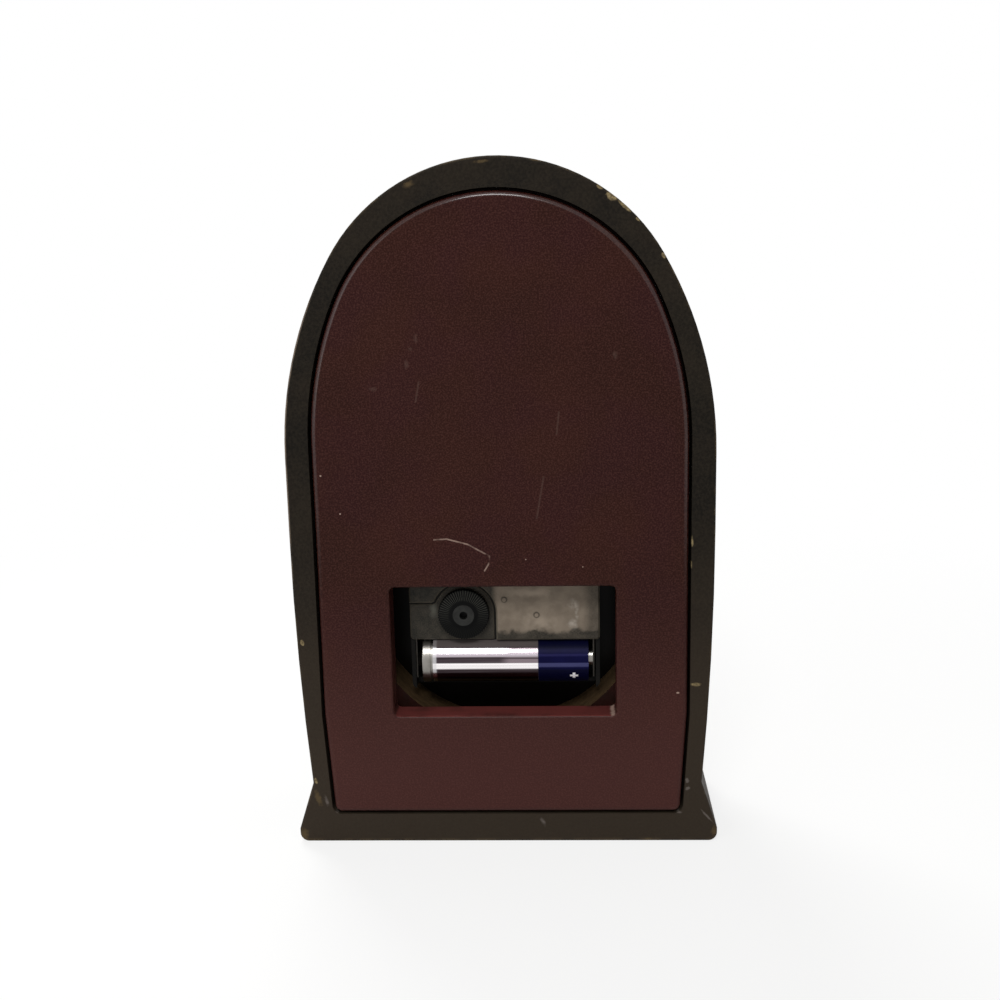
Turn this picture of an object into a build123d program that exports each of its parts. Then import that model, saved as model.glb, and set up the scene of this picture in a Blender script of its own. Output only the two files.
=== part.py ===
from build123d import *
import math
import os

# Arched shelf clock with a quartz movement, as separate pieces, in millimetres.
# The dial faces -Y, the access window faces +Y and +Z is up.
# The origin lies on the table, under the middle of the case.

# Case band, outer shape
case_height = 198.5
case_width = 121.4
arch_rise = 81.5
crown_flattening = 7.7
side_draw_share = 0.774
side_facets = 4
waist_inset = 3.1
waist_height = 18.6
foot_flare = 1.6
foot_rim = 4.0
foot_corner = 2.6
band_depth = 43.2
band_edge = 0.8

# Opening that the boards fill
band_top = 8.3
band_side = 6.8
band_bottom = 8.9
opening_rise = 70.2
opening_flattening = 4.4
opening_taper = 1.9
opening_corner = 2.9
opening_draw_share = 0.28
opening_facets = 1

# Boards inside the band
board_fit = 0.1
front_board_thickness = 6.0
core_thickness = 15.0
panel_thickness = 8.0
panel_proud = 0.8
panel_gap = 0.9
panel_edge = 1.6
window_width = 65.0
window_height = 39.0
window_sill = 39.9
window_corner = 1.5
window_edge = 0.8
bore_clearance = 2.4

# Hands axis and the threaded bushing
shaft_height = 72.7
bushing_diameter = 8.0
bushing_hole_clearance = 0.2
thread_clearance = 0.05
bushing_overrun = 0.4
running_clearance = 0.05
seat_clearance = 0.02
nut_width = 12.0
nut_thickness = 2.2
brass_washer_diameter = 14.0
brass_washer_thickness = 0.5
rubber_washer_diameter = 24.0
rubber_washer_thickness = 0.8

# Dial, glass and bezel
bezel_margin = 8.8
dial_thickness = 0.8
sight_width = 2.5
sight_flare = 1.8
glass_thickness = 1.6
glass_height = 9.3
bezel_wall = 6.0
bezel_lip = 1.8
bezel_lip_thickness = 1.1
bezel_foot = 2.5
bezel_crown = 1.5
bezel_fit = 0.1

# Hands
hand_thickness = 0.5
hand_spacing = 1.1
hour_hand_share = 0.683
hour_hand_width = 5.0
minute_hand_margin = 5.0
minute_hand_width = 4.2
second_hand_margin = 4.0
second_hand_tail = 10.0
second_hand_width = 1.2
hour_hub_diameter = 8.4
minute_hub_diameter = 6.4
second_hub_diameter = 4.4
hand_tip_width = 0.6
hand_widest_share = 0.3
hour_hand_angle = 304.3
minute_hand_angle = 51.6
second_hand_angle = 216.0

# Pipes and arbors
hour_pipe_diameter = 5.0
seconds_arbor_diameter = 1.0
pipe_wall = 0.65
clutch_hub_diameter = 2.4
arbor_diameter = 1.0
pivot_diameter = 0.6
pivot_length = 0.5
knob_arbor_diameter = 2.0

# Movement housing, with a layout unit that is one fifty-sixth of its side
movement_size = 56.0
movement_unit_count = 56
unit = movement_size / movement_unit_count
movement_corner = 2.0
movement_depth = 13.6
case_floor = 1.0
case_wall = 1.2
cover_plate = 1.0
cover_land = 1.0
cover_skirt = 3.0
cover_edge = 0.5
cover_corner = 1.0
cover_overhang = 0.7
partition_gap = 0.35
partition_thickness = 0.7
partition_depth = 6.0
pip_diameter = 1.4
pip_height = 0.3
cradle_height = 5.0

# Knob and the step of the cover round it
knob_diameter = 15.1 * unit
knob_skirt = 1.9
knob_crown = 0.7
knob_hub_diameter = 6.2
knob_hub_rise = 0.2
knob_hole_diameter = 2.3
knob_hole_depth = 1.6
knob_web = 0.2
knob_gap = 0.3
knob_ridges = 60
knob_ridge_depth = 0.35
knob_zone_radius = 9.4 * unit
knob_zone_top = 0.9 * unit
knob_zone_fillet = 1.2 * unit
knob_groove = 0.6
knob_groove_depth = 0.5
knob_zone_edge = 0.3

# Wheels: teeth, centre distances and directions seen from the front
wheel_thickness = 0.6
layer_gap = 0.4
first_layer_gap = 0.3
cannon_teeth = 18
minute_wheel_teeth = 36
minute_pinion_teeth = 10
hour_wheel_teeth = 60
setting_distance = 12.6 * unit
setting_angle = -19.2
third_pinion_teeth = 8
centre_wheel_teeth = 64
seconds_pinion_teeth = 8
third_wheel_teeth = 60
third_distance = 12.2 * unit
third_angle = 110.0
step_pinion_teeth = 8
seconds_wheel_teeth = 40
step_distance = 10.55 * unit
step_angle = 206.4
rotor_pinion_teeth = 8
step_wheel_teeth = 48
rotor_distance = 6.16 * unit
rotor_angle = 150.0

# Tooth form in modules, and half widths as shares of the tooth pitch
addendum_share = 0.8
dedendum_share = 1.15
tip_flank_share = 0.06
pitch_flank_share = 0.185
root_flank_share = 0.22

# Middle plate and posts
plate_thickness = 0.8
plate_half_width = 24.8 * unit
plate_top = 25.8 * unit
post_diameter = 2.8
post_inset_x = 5.3 * unit
post_inset_top = 6.0 * unit
post_rise_low = 2.6 * unit

# Stepping motor
magnet_diameter = 5.0 * unit
magnet_length = 2.0
magnet_gap = 0.5
stator_thickness = 1.0
stator_ring_width = 1.3 * unit
stator_air_gap = 0.6
stator_arm = 3.4 * unit
stator_left = 9.2 * unit
stator_right = 13.0 * unit
coil_height = 15.0 * unit
coil_core_width = 2.2
coil_core_thickness = 0.8
bobbin_diameter = 3.2
bobbin_flange_diameter = 5.0
bobbin_flange = 0.6
bobbin_gap = 0.5
winding_diameter = 4.6
standoff_diameter = 2.4

# Circuit board
board_left = 3.5 * unit
board_right = 20.5 * unit
board_bottom = 12.0 * unit
board_inset = 1.2
board_thickness = 1.0
board_lift = 2.1
crystal_diameter = 2.0
crystal_length = 6.0
chip_size = 4.0
chip_height = 1.2

# AA cell, 50.5 by 14.5 at the real size, and its contacts
cell_end_room = 1.55
cell_diameter = 14.5 * unit
cell_shift = -0.65
cell_side_gap = 0.25
cell_floor_gap = 0.2
sleeve_thickness = 0.2
sleeve_gap = 0.05
nub_diameter = 5.5
nub_length = 1.3
rim_length = 2.4
rim_groove = 0.8
rim_groove_depth = 0.3
contact_thickness = 0.4
contact_gap = 0.05
contact_width = 4.0
contact_strip = 1.5
contact_height = 11.0 * unit

# Places along the depth, front to back
total_depth = band_depth + panel_proud
rear_y = total_depth / 2
band_front_y = -total_depth / 2
band_rear_y = band_front_y + band_depth
panel_front_y = rear_y - panel_thickness
core_front_y = panel_front_y - core_thickness
board_front_y = core_front_y - front_board_thickness
dial_front_y = board_front_y - dial_thickness
washer_front_y = dial_front_y - brass_washer_thickness
nut_front_y = washer_front_y - nut_thickness
bushing_front_y = nut_front_y - bushing_overrun
hour_hand_y = bushing_front_y - hand_spacing
minute_hand_y = hour_hand_y - hand_thickness - hand_spacing
second_hand_y = minute_hand_y - hand_thickness - hand_spacing
glass_rear_y = board_front_y - glass_height
glass_front_y = glass_rear_y - glass_thickness
bezel_front_y = glass_front_y - bezel_lip_thickness
movement_front_y = core_front_y + rubber_washer_thickness
floor_y = movement_front_y + case_floor
land_rear_y = movement_front_y + movement_depth
zone_rear_y = land_rear_y - cover_land
groove_floor_y = zone_rear_y - knob_groove_depth
cover_inner_y = zone_rear_y - cover_plate
rim_y = cover_inner_y - cover_skirt
layer_pitch = wheel_thickness + layer_gap
hour_layer_y = floor_y + first_layer_gap
minute_layer_y = hour_layer_y + layer_pitch
centre_layer_y = minute_layer_y + layer_pitch
third_layer_y = centre_layer_y + layer_pitch
plate_front_y = third_layer_y + layer_pitch
plate_rear_y = plate_front_y + plate_thickness
seconds_layer_y = plate_rear_y + layer_gap
step_layer_y = seconds_layer_y + layer_pitch
magnet_front_y = step_layer_y + wheel_thickness + magnet_gap
magnet_rear_y = magnet_front_y + magnet_length
stator_front_y = (magnet_front_y + magnet_rear_y - stator_thickness) / 2
stator_rear_y = stator_front_y + stator_thickness
circuit_front_y = plate_rear_y + board_lift
circuit_rear_y = circuit_front_y + board_thickness
knob_front_y = zone_rear_y + knob_gap
knob_shoulder_y = knob_front_y + knob_skirt
knob_rear_y = knob_shoulder_y + knob_crown
knob_hub_y = knob_rear_y + knob_hub_rise
knob_seat_y = knob_hub_y - knob_hole_depth - knob_web
cell_y = floor_y + cell_floor_gap + cell_diameter / 2

# Sizes that follow from the case and the bezel
waist_half_width = case_width / 2 - waist_inset
foot_half_width = case_width / 2 + foot_flare
bezel_radius = case_width / 2 - band_side - bezel_margin
dial_diameter = 2 * (bezel_radius - bezel_wall - bezel_fit)
sight_diameter = dial_diameter - 2 * sight_width
minute_hand_length = sight_diameter / 2 - minute_hand_margin
second_hand_length = sight_diameter / 2 - second_hand_margin
hour_hand_length = hour_hand_share * minute_hand_length

# Half sizes used by several pieces
half_movement = movement_size / 2
half_inside = half_movement - case_wall
board_top = half_inside - board_inset
cell_length = 2 * (half_inside - cell_end_room)
cell_drop = half_inside - cell_side_gap - cell_diameter / 2
partition_drop = cell_drop - cell_diameter / 2 - partition_gap - partition_thickness
cover_drop = partition_drop + partition_thickness + cover_overhang
movement_diagonal = math.sqrt(2) * (movement_size - 2 * movement_corner) + 2 * movement_corner
bore_diameter = movement_diagonal + 2 * bore_clearance
bushing_radius = bushing_diameter / 2
hour_bore_radius = hour_pipe_diameter / 2 - pipe_wall
minute_bore_radius = seconds_arbor_diameter / 2 + running_clearance
minute_pipe_radius = hour_bore_radius - running_clearance
bushing_bore_radius = hour_pipe_diameter / 2 + running_clearance


def polar(distance, angle, start=(0.0, 0.0)):
    """Point at a distance and direction from a start point, seen from the front."""
    turn = math.radians(angle)
    return start[0] + distance * math.cos(turn), start[1] + distance * math.sin(turn)


# Wheel centres, measured from the hands axis
setting_centre = polar(setting_distance, setting_angle)
third_centre = polar(third_distance, third_angle)
step_centre = polar(step_distance, step_angle)
rotor_centre = polar(rotor_distance, rotor_angle, step_centre)
hands_centre = (0.0, 0.0)


def slab(sketch, front_y, rear_y_of_slab):
    """Solid with the given outline in X and Z between two depths."""
    plane = Plane(origin=(0, rear_y_of_slab, 0), x_dir=(1, 0, 0), z_dir=(0, -1, 0))
    return extrude(plane * sketch, rear_y_of_slab - front_y)


def on_shaft(sketch, centre=(0.0, 0.0)):
    """Sketch moved to a place measured from the hands axis."""
    return Pos(centre[0], shaft_height + centre[1]) * sketch


def disc(radius, front_y, rear_y_of_disc, centre=(0.0, 0.0)):
    """Round piece along the depth, centred beside the hands axis."""
    return slab(on_shaft(Circle(radius), centre), front_y, rear_y_of_disc)


def block(left, right, bottom, top, front_y, rear_y_of_block):
    """Rectangular piece with its sides measured from the hands axis."""
    outline = Pos((left + right) / 2, (bottom + top) / 2) * Rectangle(right - left, top - bottom)
    return slab(on_shaft(outline), front_y, rear_y_of_block)


def turned(outline):
    """Ring turned about the hands axis from edges drawn in radius and depth."""
    profile = Pos(0, 0, shaft_height) * make_face(outline)
    return revolve(profile, Axis((0, 0, shaft_height), (0, 1, 0)))


def arch_side(half_width, apex, rise, flattening, low_half_width, low_height, draw_share, draw_steps):
    """Right-hand strokes of an arch, each a curve and its points, from foot to crown."""
    spring = apex - rise
    draw_start = low_height + draw_share * (spring - low_height)
    draw = []
    for step in range(draw_steps + 1):
        climb = step / draw_steps
        draw_in = (half_width - low_half_width) * (1 - climb) ** 2
        draw.append((half_width - draw_in, low_height + (draw_start - low_height) * climb))
    crown_radius = half_width - flattening
    lift = rise - crown_radius
    side_radius = (half_width ** 2 + lift ** 2 - crown_radius ** 2) / (2 * flattening)
    meeting = math.degrees(math.atan2(lift, side_radius - half_width))
    side_centre = (half_width - side_radius, spring)
    crown_centre = (0.0, apex - crown_radius)
    meeting_point = polar(side_radius, meeting, side_centre)
    return [(Line, *ends) for ends in zip(draw, draw[1:])] + [
        (Line, (half_width, draw_start), (half_width, spring)),
        (ThreePointArc, (half_width, spring), polar(side_radius, meeting / 2, side_centre), meeting_point),
        (ThreePointArc, meeting_point, polar(crown_radius, (meeting + 90) / 2, crown_centre), (0.0, apex)),
    ]


def mirrored_face(right_strokes):
    """Face from right-hand strokes, their mirror image and a flat bottom."""
    left_strokes = [(curve, *[(-x, z) for x, z in points]) for curve, *points in right_strokes]
    start = right_strokes[0][1]
    strokes = right_strokes + left_strokes + [(Line, (-start[0], start[1]), start)]
    return make_face([curve(*points) for curve, *points in strokes])


def case_outline():
    """Outer shape of the case band with its waist and flared foot."""
    foot = (foot_half_width, foot_rim)
    waist = (waist_half_width, waist_height)
    strokes = [(Line, (foot_half_width, 0.0), foot), (Line, foot, waist)]
    strokes += arch_side(
        case_width / 2, case_height, arch_rise, crown_flattening, *waist, side_draw_share, side_facets
    )
    outline = mirrored_face(strokes)
    return fillet(outline.vertices().group_by(Axis.Y)[0], foot_corner)


def opening_outline(inset):
    """Shape of the opening in the band, drawn in by an even inset."""
    half_width = case_width / 2 - band_side - inset
    floor = band_bottom + inset
    apex = case_height - band_top - inset
    strokes = arch_side(
        half_width, apex, opening_rise - inset, opening_flattening,
        half_width - opening_taper, floor, opening_draw_share, opening_facets,
    )
    outline = mirrored_face(strokes)
    return fillet(outline.vertices().group_by(Axis.Y)[0], opening_corner - inset)


def outer_edges(solid, depth):
    """Edges round the outside of the flat face at a depth."""
    face = solid.faces().filter_by(Axis.Y).sort_by(lambda item: abs(item.center().Y - depth))[0]
    return face.outer_wire().edges()


def gear(teeth, distance, mate_teeth, front_y, centre, phase):
    """Flat toothed wheel whose module follows from its centre distance."""
    module = 2 * distance / (teeth + mate_teeth)
    pitch = 360 / teeth
    half_tooth = (
        (teeth / 2 - dedendum_share, root_flank_share),
        (teeth / 2, pitch_flank_share),
        (teeth / 2 + addendum_share, tip_flank_share),
    )
    points = []
    for tooth in range(teeth):
        middle = phase + tooth * pitch
        points += [polar(module * radius, middle - share * pitch) for radius, share in half_tooth]
        points += [polar(module * radius, middle + share * pitch) for radius, share in reversed(half_tooth)]
    outline = on_shaft(make_face(Polyline(*points, close=True)), centre)
    return slab(outline, front_y, front_y + wheel_thickness)


def gap_phase(teeth, angle):
    """Turn that puts a tooth space, not a tooth, in a direction."""
    return angle + 180 / teeth


def arbor(centre, front_y, rear_y_of_arbor, front_pivot_y, rear_pivot_y):
    """Plain arbor with a thinner pivot at each end."""
    body = disc(arbor_diameter / 2, front_y, rear_y_of_arbor, centre)
    return body + disc(pivot_diameter / 2, front_pivot_y, rear_pivot_y, centre)


def pivot_hole(centre, front_y, rear_y_of_hole):
    """Running hole for a pivot."""
    return disc(pivot_diameter / 2 + running_clearance, front_y, rear_y_of_hole, centre)


# Case pieces

def make_case_surround():
    """Painted band: arched outside, arched opening, softened front and rear edges."""
    band = slab(case_outline(), band_front_y, band_rear_y)
    band = fillet(outer_edges(band, band_front_y) + outer_edges(band, band_rear_y), band_edge)
    return band - slab(opening_outline(0), band_front_y, band_rear_y)


def make_front_board():
    """Board behind the dial, drilled for the movement's bushing."""
    board = slab(opening_outline(board_fit), board_front_y, core_front_y)
    return board - disc(bushing_radius + bushing_hole_clearance, board_front_y, core_front_y)


def make_core_board():
    """Fibreboard core with the round pocket for the movement."""
    core = slab(opening_outline(board_fit), core_front_y, panel_front_y)
    return core - disc(bore_diameter / 2, core_front_y, panel_front_y)


def make_back_panel():
    """Lacquered back board with rounded edges and the access window."""
    panel = slab(opening_outline(panel_gap), panel_front_y, rear_y)
    panel = fillet(outer_edges(panel, rear_y), panel_edge)
    middle = window_sill + window_height / 2
    window = Pos(0, middle) * RectangleRounded(window_width, window_height, window_corner)
    panel -= slab(window, panel_front_y, rear_y)
    rear_face = panel.faces().filter_by(Axis.Y).sort_by(Axis.Y)[-1]
    return fillet(rear_face.inner_wires()[0].edges(), window_edge)


# Dial pieces

def make_bezel_ring():
    """Turned ring that stands on the front board and holds the glass."""
    inner = dial_diameter / 2 + bezel_fit
    outer = bezel_radius
    lip = inner - bezel_lip
    shoulder_y = board_front_y - bezel_foot
    crown_radius = inner + bezel_crown
    bulge = ((outer + crown_radius) / 2 + bezel_crown, (shoulder_y + bezel_front_y) / 2 - bezel_crown)
    return turned([
        Line((inner, board_front_y), (outer, board_front_y)),
        Line((outer, board_front_y), (outer, shoulder_y)),
        ThreePointArc((outer, shoulder_y), bulge, (crown_radius, bezel_front_y)),
        Line((crown_radius, bezel_front_y), (lip, bezel_front_y)),
        Line((lip, bezel_front_y), (lip, glass_front_y)),
        Line((lip, glass_front_y), (inner, glass_front_y)),
        Line((inner, glass_front_y), (inner, board_front_y)),
    ])


def make_sight_ring():
    """Sloping ring between dial and glass."""
    outer = dial_diameter / 2
    narrow = sight_diameter / 2
    points = [
        (narrow, dial_front_y),
        (outer, dial_front_y),
        (outer, glass_rear_y),
        (narrow + sight_flare, glass_rear_y),
    ]
    return turned(Polyline(*points, close=True))


def make_dial_plate():
    """Round dial with its centre hole."""
    plate = disc(dial_diameter / 2, dial_front_y, board_front_y)
    return plate - disc(bushing_radius + thread_clearance, dial_front_y, board_front_y)


def make_dial_glass():
    """Flat glass held under the lip of the bezel."""
    return disc(dial_diameter / 2, glass_front_y, glass_rear_y)


def make_rubber_washer():
    """Soft ring between movement and front board."""
    ring = disc(rubber_washer_diameter / 2, core_front_y, movement_front_y)
    return ring - disc(bushing_radius + bushing_hole_clearance, core_front_y, movement_front_y)


def make_brass_washer():
    """Washer under the nut."""
    ring = disc(brass_washer_diameter / 2, washer_front_y, dial_front_y)
    return ring - disc(bushing_radius + thread_clearance, washer_front_y, dial_front_y)


def make_mounting_nut():
    """Hexagon nut on the bushing, which clamps movement, board and dial."""
    hexagon = RegularPolygon(nut_width / 2, 6, major_radius=False)
    nut = slab(on_shaft(hexagon), nut_front_y, washer_front_y)
    return nut - disc(bushing_radius + thread_clearance, nut_front_y, washer_front_y)


# Hands

def make_hand(front_y, length, width, hub_diameter, bore_radius, angle, tail=0.0):
    """Tapered hand with a round hub, turned clockwise from twelve."""
    widest = length * hand_widest_share
    blade = Polyline(
        (-hand_tip_width, -tail), (hand_tip_width, -tail), (width / 2, widest),
        (hand_tip_width / 2, length), (-hand_tip_width / 2, length), (-width / 2, widest),
        close=True,
    )
    outline = make_face(blade) + Circle(hub_diameter / 2)
    outline -= Circle(bore_radius + seat_clearance)
    return slab(on_shaft(Rot(0, 0, -angle) * outline), front_y, front_y + hand_thickness)


def make_hour_hand():
    """Short hand on the hour pipe."""
    return make_hand(
        hour_hand_y, hour_hand_length, hour_hand_width, hour_hub_diameter,
        hour_pipe_diameter / 2, hour_hand_angle,
    )


def make_minute_hand():
    """Long hand on the minute pipe."""
    return make_hand(
        minute_hand_y, minute_hand_length, minute_hand_width, minute_hub_diameter,
        minute_pipe_radius, minute_hand_angle,
    )


def make_second_hand():
    """Thin hand with a counterweight tail on the seconds arbor."""
    return make_hand(
        second_hand_y, second_hand_length, second_hand_width, second_hub_diameter,
        seconds_arbor_diameter / 2, second_hand_angle, second_hand_tail,
    )


# Movement housing

def movement_outline(inset=0.0):
    """Rounded square of the movement, drawn in by an inset."""
    side = movement_size - 2 * inset
    return on_shaft(RectangleRounded(side, side, movement_corner))


def post_centres():
    """Places of the four posts that clamp the middle plate."""
    x = half_movement - post_inset_x
    low = post_rise_low - partition_drop
    high = half_movement - post_inset_top
    return [(-x, high), (x, high), (-x, low), (x, low)]


def make_movement_case():
    """Front half of the housing: floor, walls, posts, bushing and front pivot holes."""
    shell = slab(movement_outline(), movement_front_y, cover_inner_y)
    shell -= slab(movement_outline(case_wall), floor_y, cover_inner_y)
    shell -= block(-half_movement, half_movement, -cover_drop, half_movement, rim_y, cover_inner_y)
    cradle_y = floor_y + cradle_height
    shell -= block(-half_inside, half_inside, -half_movement, -cover_drop, cradle_y, cover_inner_y)
    for centre in post_centres():
        shell += disc(post_diameter / 2, floor_y, plate_front_y, centre)
    shell += disc(bushing_radius, bushing_front_y, movement_front_y)
    shell -= disc(bushing_bore_radius, bushing_front_y, floor_y)
    for centre in (setting_centre, third_centre):
        shell -= pivot_hole(centre, floor_y - pivot_length - running_clearance, floor_y)
    return shell


def field(left, right, low, high):
    """Flat rectangle between four sides, measured from the hands axis."""
    return Pos((left + right) / 2, (low + high) / 2) * Rectangle(right - left, high - low)


def knob_zone(grow=0.0):
    """Lower area of the cover round the knob: an arc about the knob that runs into two fields."""
    knob_x, knob_z = setting_centre
    reach = knob_zone_radius + grow
    top = grow - knob_zone_top
    zone = Pos(*setting_centre) * Circle(reach)
    zone += field(knob_x - reach, movement_size, -movement_size, knob_z)
    zone += field(knob_x, movement_size, -movement_size, top)
    meeting = (knob_x + math.sqrt(reach ** 2 - (top - knob_z) ** 2), top)
    corner = zone.vertices().sort_by(lambda item: math.dist((item.X, item.Y), meeting))[:1]
    return on_shaft(fillet(corner, knob_zone_fillet - grow))


def make_movement_cover():
    """Rear cover: raised land, groove round the knob's plate, skirt, partition over the cell, posts."""
    below = on_shaft(
        Pos(0, -cover_drop - movement_size / 2) * Rectangle(2 * movement_size, movement_size)
    )
    outline = movement_outline() - below
    outline = fillet(outline.vertices().group_by(Axis.Y)[0], cover_corner)
    cover = slab(outline, cover_inner_y, groove_floor_y)
    skirt = slab(outline, rim_y, cover_inner_y)
    skirt -= slab(movement_outline(case_wall) - below, rim_y, cover_inner_y)
    land = slab(outline - knob_zone(), groove_floor_y, land_rear_y)
    land = chamfer(outer_edges(land, land_rear_y), cover_edge)
    low_plate = slab(outline & knob_zone(-knob_groove), groove_floor_y, zone_rear_y)
    low_plate = chamfer(outer_edges(low_plate, zone_rear_y), knob_zone_edge)
    partition_bottom = -partition_drop - partition_thickness
    partition_y = cover_inner_y - partition_depth
    cover += [
        skirt, land, low_plate,
        block(positive_end, -positive_end, partition_bottom, -partition_drop, partition_y, cover_inner_y),
    ]
    for centre in post_centres():
        cover += disc(post_diameter / 2, plate_rear_y, cover_inner_y, centre)
    for centre in (hands_centre, step_centre):
        cover += disc(pip_diameter / 2, land_rear_y, land_rear_y + pip_height, centre)
    for centre in (hands_centre, step_centre, rotor_centre):
        cover -= pivot_hole(centre, cover_inner_y, cover_inner_y + pivot_length + running_clearance)
    knob_hole = knob_arbor_diameter / 2 + running_clearance
    return cover - disc(knob_hole, cover_inner_y, zone_rear_y, setting_centre)


def stator_standoffs():
    """Places of the two standoffs under the stator's arms."""
    left = rotor_centre[0] - stator_left + stator_arm / 2
    right = rotor_centre[0] + stator_right - stator_arm / 2
    low = rotor_centre[1] + stator_arm
    return [(left, low), (right, coil_height - stator_arm)]


def make_middle_plate():
    """Plate between the front and rear wheels, with standoffs for stator and circuit board."""
    plate = block(
        -plate_half_width, plate_half_width, -partition_drop + post_rise_low - post_diameter / 2,
        plate_top, plate_front_y, plate_rear_y,
    )
    for centre in stator_standoffs():
        plate += disc(standoff_diameter / 2, plate_rear_y, stator_front_y, centre)
    inset = standoff_diameter
    for centre in ((board_left + inset, board_top - inset), (board_right - inset, board_bottom + inset)):
        plate += disc(standoff_diameter / 2, plate_rear_y, circuit_front_y, centre)
    for centre in (third_centre, step_centre, rotor_centre):
        plate -= pivot_hole(centre, plate_front_y, plate_rear_y)
    plate -= disc(minute_bore_radius, plate_front_y, plate_rear_y)
    knob_hole = knob_arbor_diameter / 2 + running_clearance
    return plate - disc(knob_hole, plate_front_y, plate_rear_y, setting_centre)


# Motion work

def make_hour_wheel():
    """Hour wheel with the pipe that carries the hour hand."""
    wheel = gear(
        hour_wheel_teeth, setting_distance, minute_pinion_teeth, hour_layer_y, hands_centre,
        gap_phase(hour_wheel_teeth, setting_angle),
    )
    wheel += disc(hour_pipe_diameter / 2, hour_hand_y, hour_layer_y + wheel_thickness)
    return wheel - disc(hour_bore_radius, hour_hand_y, hour_layer_y + wheel_thickness)


def make_minute_pipe():
    """Cannon pinion with the minute hand's pipe and the clutch hub behind it."""
    pipe = gear(
        cannon_teeth, setting_distance, minute_wheel_teeth, minute_layer_y, hands_centre, setting_angle
    )
    pipe += disc(minute_pipe_radius, minute_hand_y, minute_layer_y)
    hub_rear_y = third_layer_y - layer_gap / 2
    pipe += disc(clutch_hub_diameter / 2, minute_layer_y, hub_rear_y)
    return pipe - disc(minute_bore_radius, minute_hand_y, hub_rear_y)


def make_minute_wheel():
    """Minute wheel and pinion on the long arbor that the knob turns."""
    facing = setting_angle + 180
    wheel = gear(
        minute_wheel_teeth, setting_distance, cannon_teeth, minute_layer_y, setting_centre,
        gap_phase(minute_wheel_teeth, facing),
    )
    wheel += gear(
        minute_pinion_teeth, setting_distance, hour_wheel_teeth, hour_layer_y, setting_centre, facing
    )
    wheel += disc(knob_arbor_diameter / 2, hour_layer_y, knob_seat_y, setting_centre)
    return wheel + disc(pivot_diameter / 2, floor_y - pivot_length, hour_layer_y, setting_centre)


def make_set_knob():
    """Setting knob: ridged skirt, ridged crown, hub and a blind hole in its face."""
    points = []
    for ridge in range(knob_ridges):
        start = ridge * 360 / knob_ridges
        half = 180 / knob_ridges
        points.append(polar(knob_diameter / 2, start))
        points.append(polar(knob_diameter / 2 - knob_ridge_depth, start + half))
    outline = make_face(Polyline(*points, close=True))
    knob = slab(on_shaft(outline, setting_centre), knob_front_y, knob_shoulder_y)
    planes = [
        Plane(origin=(0, y, 0), x_dir=(1, 0, 0), z_dir=(0, -1, 0))
        for y in (knob_shoulder_y, knob_rear_y)
    ]
    crown_scale = knob_hub_diameter / knob_diameter
    knob += loft(
        [
            planes[0] * on_shaft(outline, setting_centre),
            planes[1] * on_shaft(scale(outline, crown_scale), setting_centre),
        ],
        ruled=True,
    )
    knob += disc(knob_hub_diameter / 2, knob_front_y, knob_hub_y, setting_centre)
    knob -= disc(knob_hole_diameter / 2, knob_hub_y - knob_hole_depth, knob_hub_y, setting_centre)
    seat = knob_arbor_diameter / 2 + seat_clearance
    return knob - disc(seat, knob_front_y, knob_seat_y, setting_centre)


# Going train

def make_centre_wheel():
    """Centre wheel that grips the clutch hub of the minute pipe."""
    wheel = gear(
        centre_wheel_teeth, third_distance, third_pinion_teeth, centre_layer_y, hands_centre,
        gap_phase(centre_wheel_teeth, third_angle),
    )
    return wheel - disc(
        clutch_hub_diameter / 2 + running_clearance, centre_layer_y, centre_layer_y + wheel_thickness
    )


def make_third_wheel():
    """Third wheel and pinion between the front floor and the middle plate."""
    facing = third_angle + 180
    wheel = gear(
        third_wheel_teeth, third_distance, seconds_pinion_teeth, third_layer_y, third_centre,
        gap_phase(third_wheel_teeth, facing),
    )
    wheel += gear(
        third_pinion_teeth, third_distance, centre_wheel_teeth, centre_layer_y, third_centre, facing
    )
    return wheel + arbor(
        third_centre, hour_layer_y, plate_front_y - layer_gap / 2, floor_y - pivot_length, plate_rear_y
    )


def make_seconds_wheel():
    """Seconds wheel and pinion on the long arbor that carries the second hand."""
    wheel = gear(
        seconds_wheel_teeth, step_distance, step_pinion_teeth, seconds_layer_y, hands_centre,
        gap_phase(seconds_wheel_teeth, step_angle),
    )
    wheel += gear(
        seconds_pinion_teeth, third_distance, third_wheel_teeth, third_layer_y, hands_centre, third_angle
    )
    wheel += disc(seconds_arbor_diameter / 2, second_hand_y, cover_inner_y - layer_gap / 2)
    return wheel + disc(pivot_diameter / 2, seconds_layer_y, cover_inner_y + pivot_length)


def make_step_wheel():
    """Wheel between rotor and seconds wheel."""
    wheel = gear(
        step_wheel_teeth, rotor_distance, rotor_pinion_teeth, step_layer_y, step_centre,
        gap_phase(step_wheel_teeth, rotor_angle),
    )
    wheel += gear(
        step_pinion_teeth, step_distance, seconds_wheel_teeth, seconds_layer_y, step_centre, step_angle + 180
    )
    return wheel + arbor(
        step_centre, plate_rear_y + layer_gap / 2, cover_inner_y - layer_gap / 2,
        plate_front_y, cover_inner_y + pivot_length,
    )


def make_rotor_pinion():
    """Rotor pinion with its arbor."""
    pinion = gear(
        rotor_pinion_teeth, rotor_distance, step_wheel_teeth, step_layer_y, rotor_centre, rotor_angle + 180
    )
    return pinion + arbor(
        rotor_centre, plate_rear_y + layer_gap / 2, cover_inner_y - layer_gap / 2,
        plate_front_y, cover_inner_y + pivot_length,
    )


def make_rotor_magnet():
    """Ring magnet on the rotor arbor."""
    ring = disc(magnet_diameter / 2, magnet_front_y, magnet_rear_y, rotor_centre)
    return ring - disc(arbor_diameter / 2 + seat_clearance, magnet_front_y, magnet_rear_y, rotor_centre)


# Stepping motor and circuit

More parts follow.
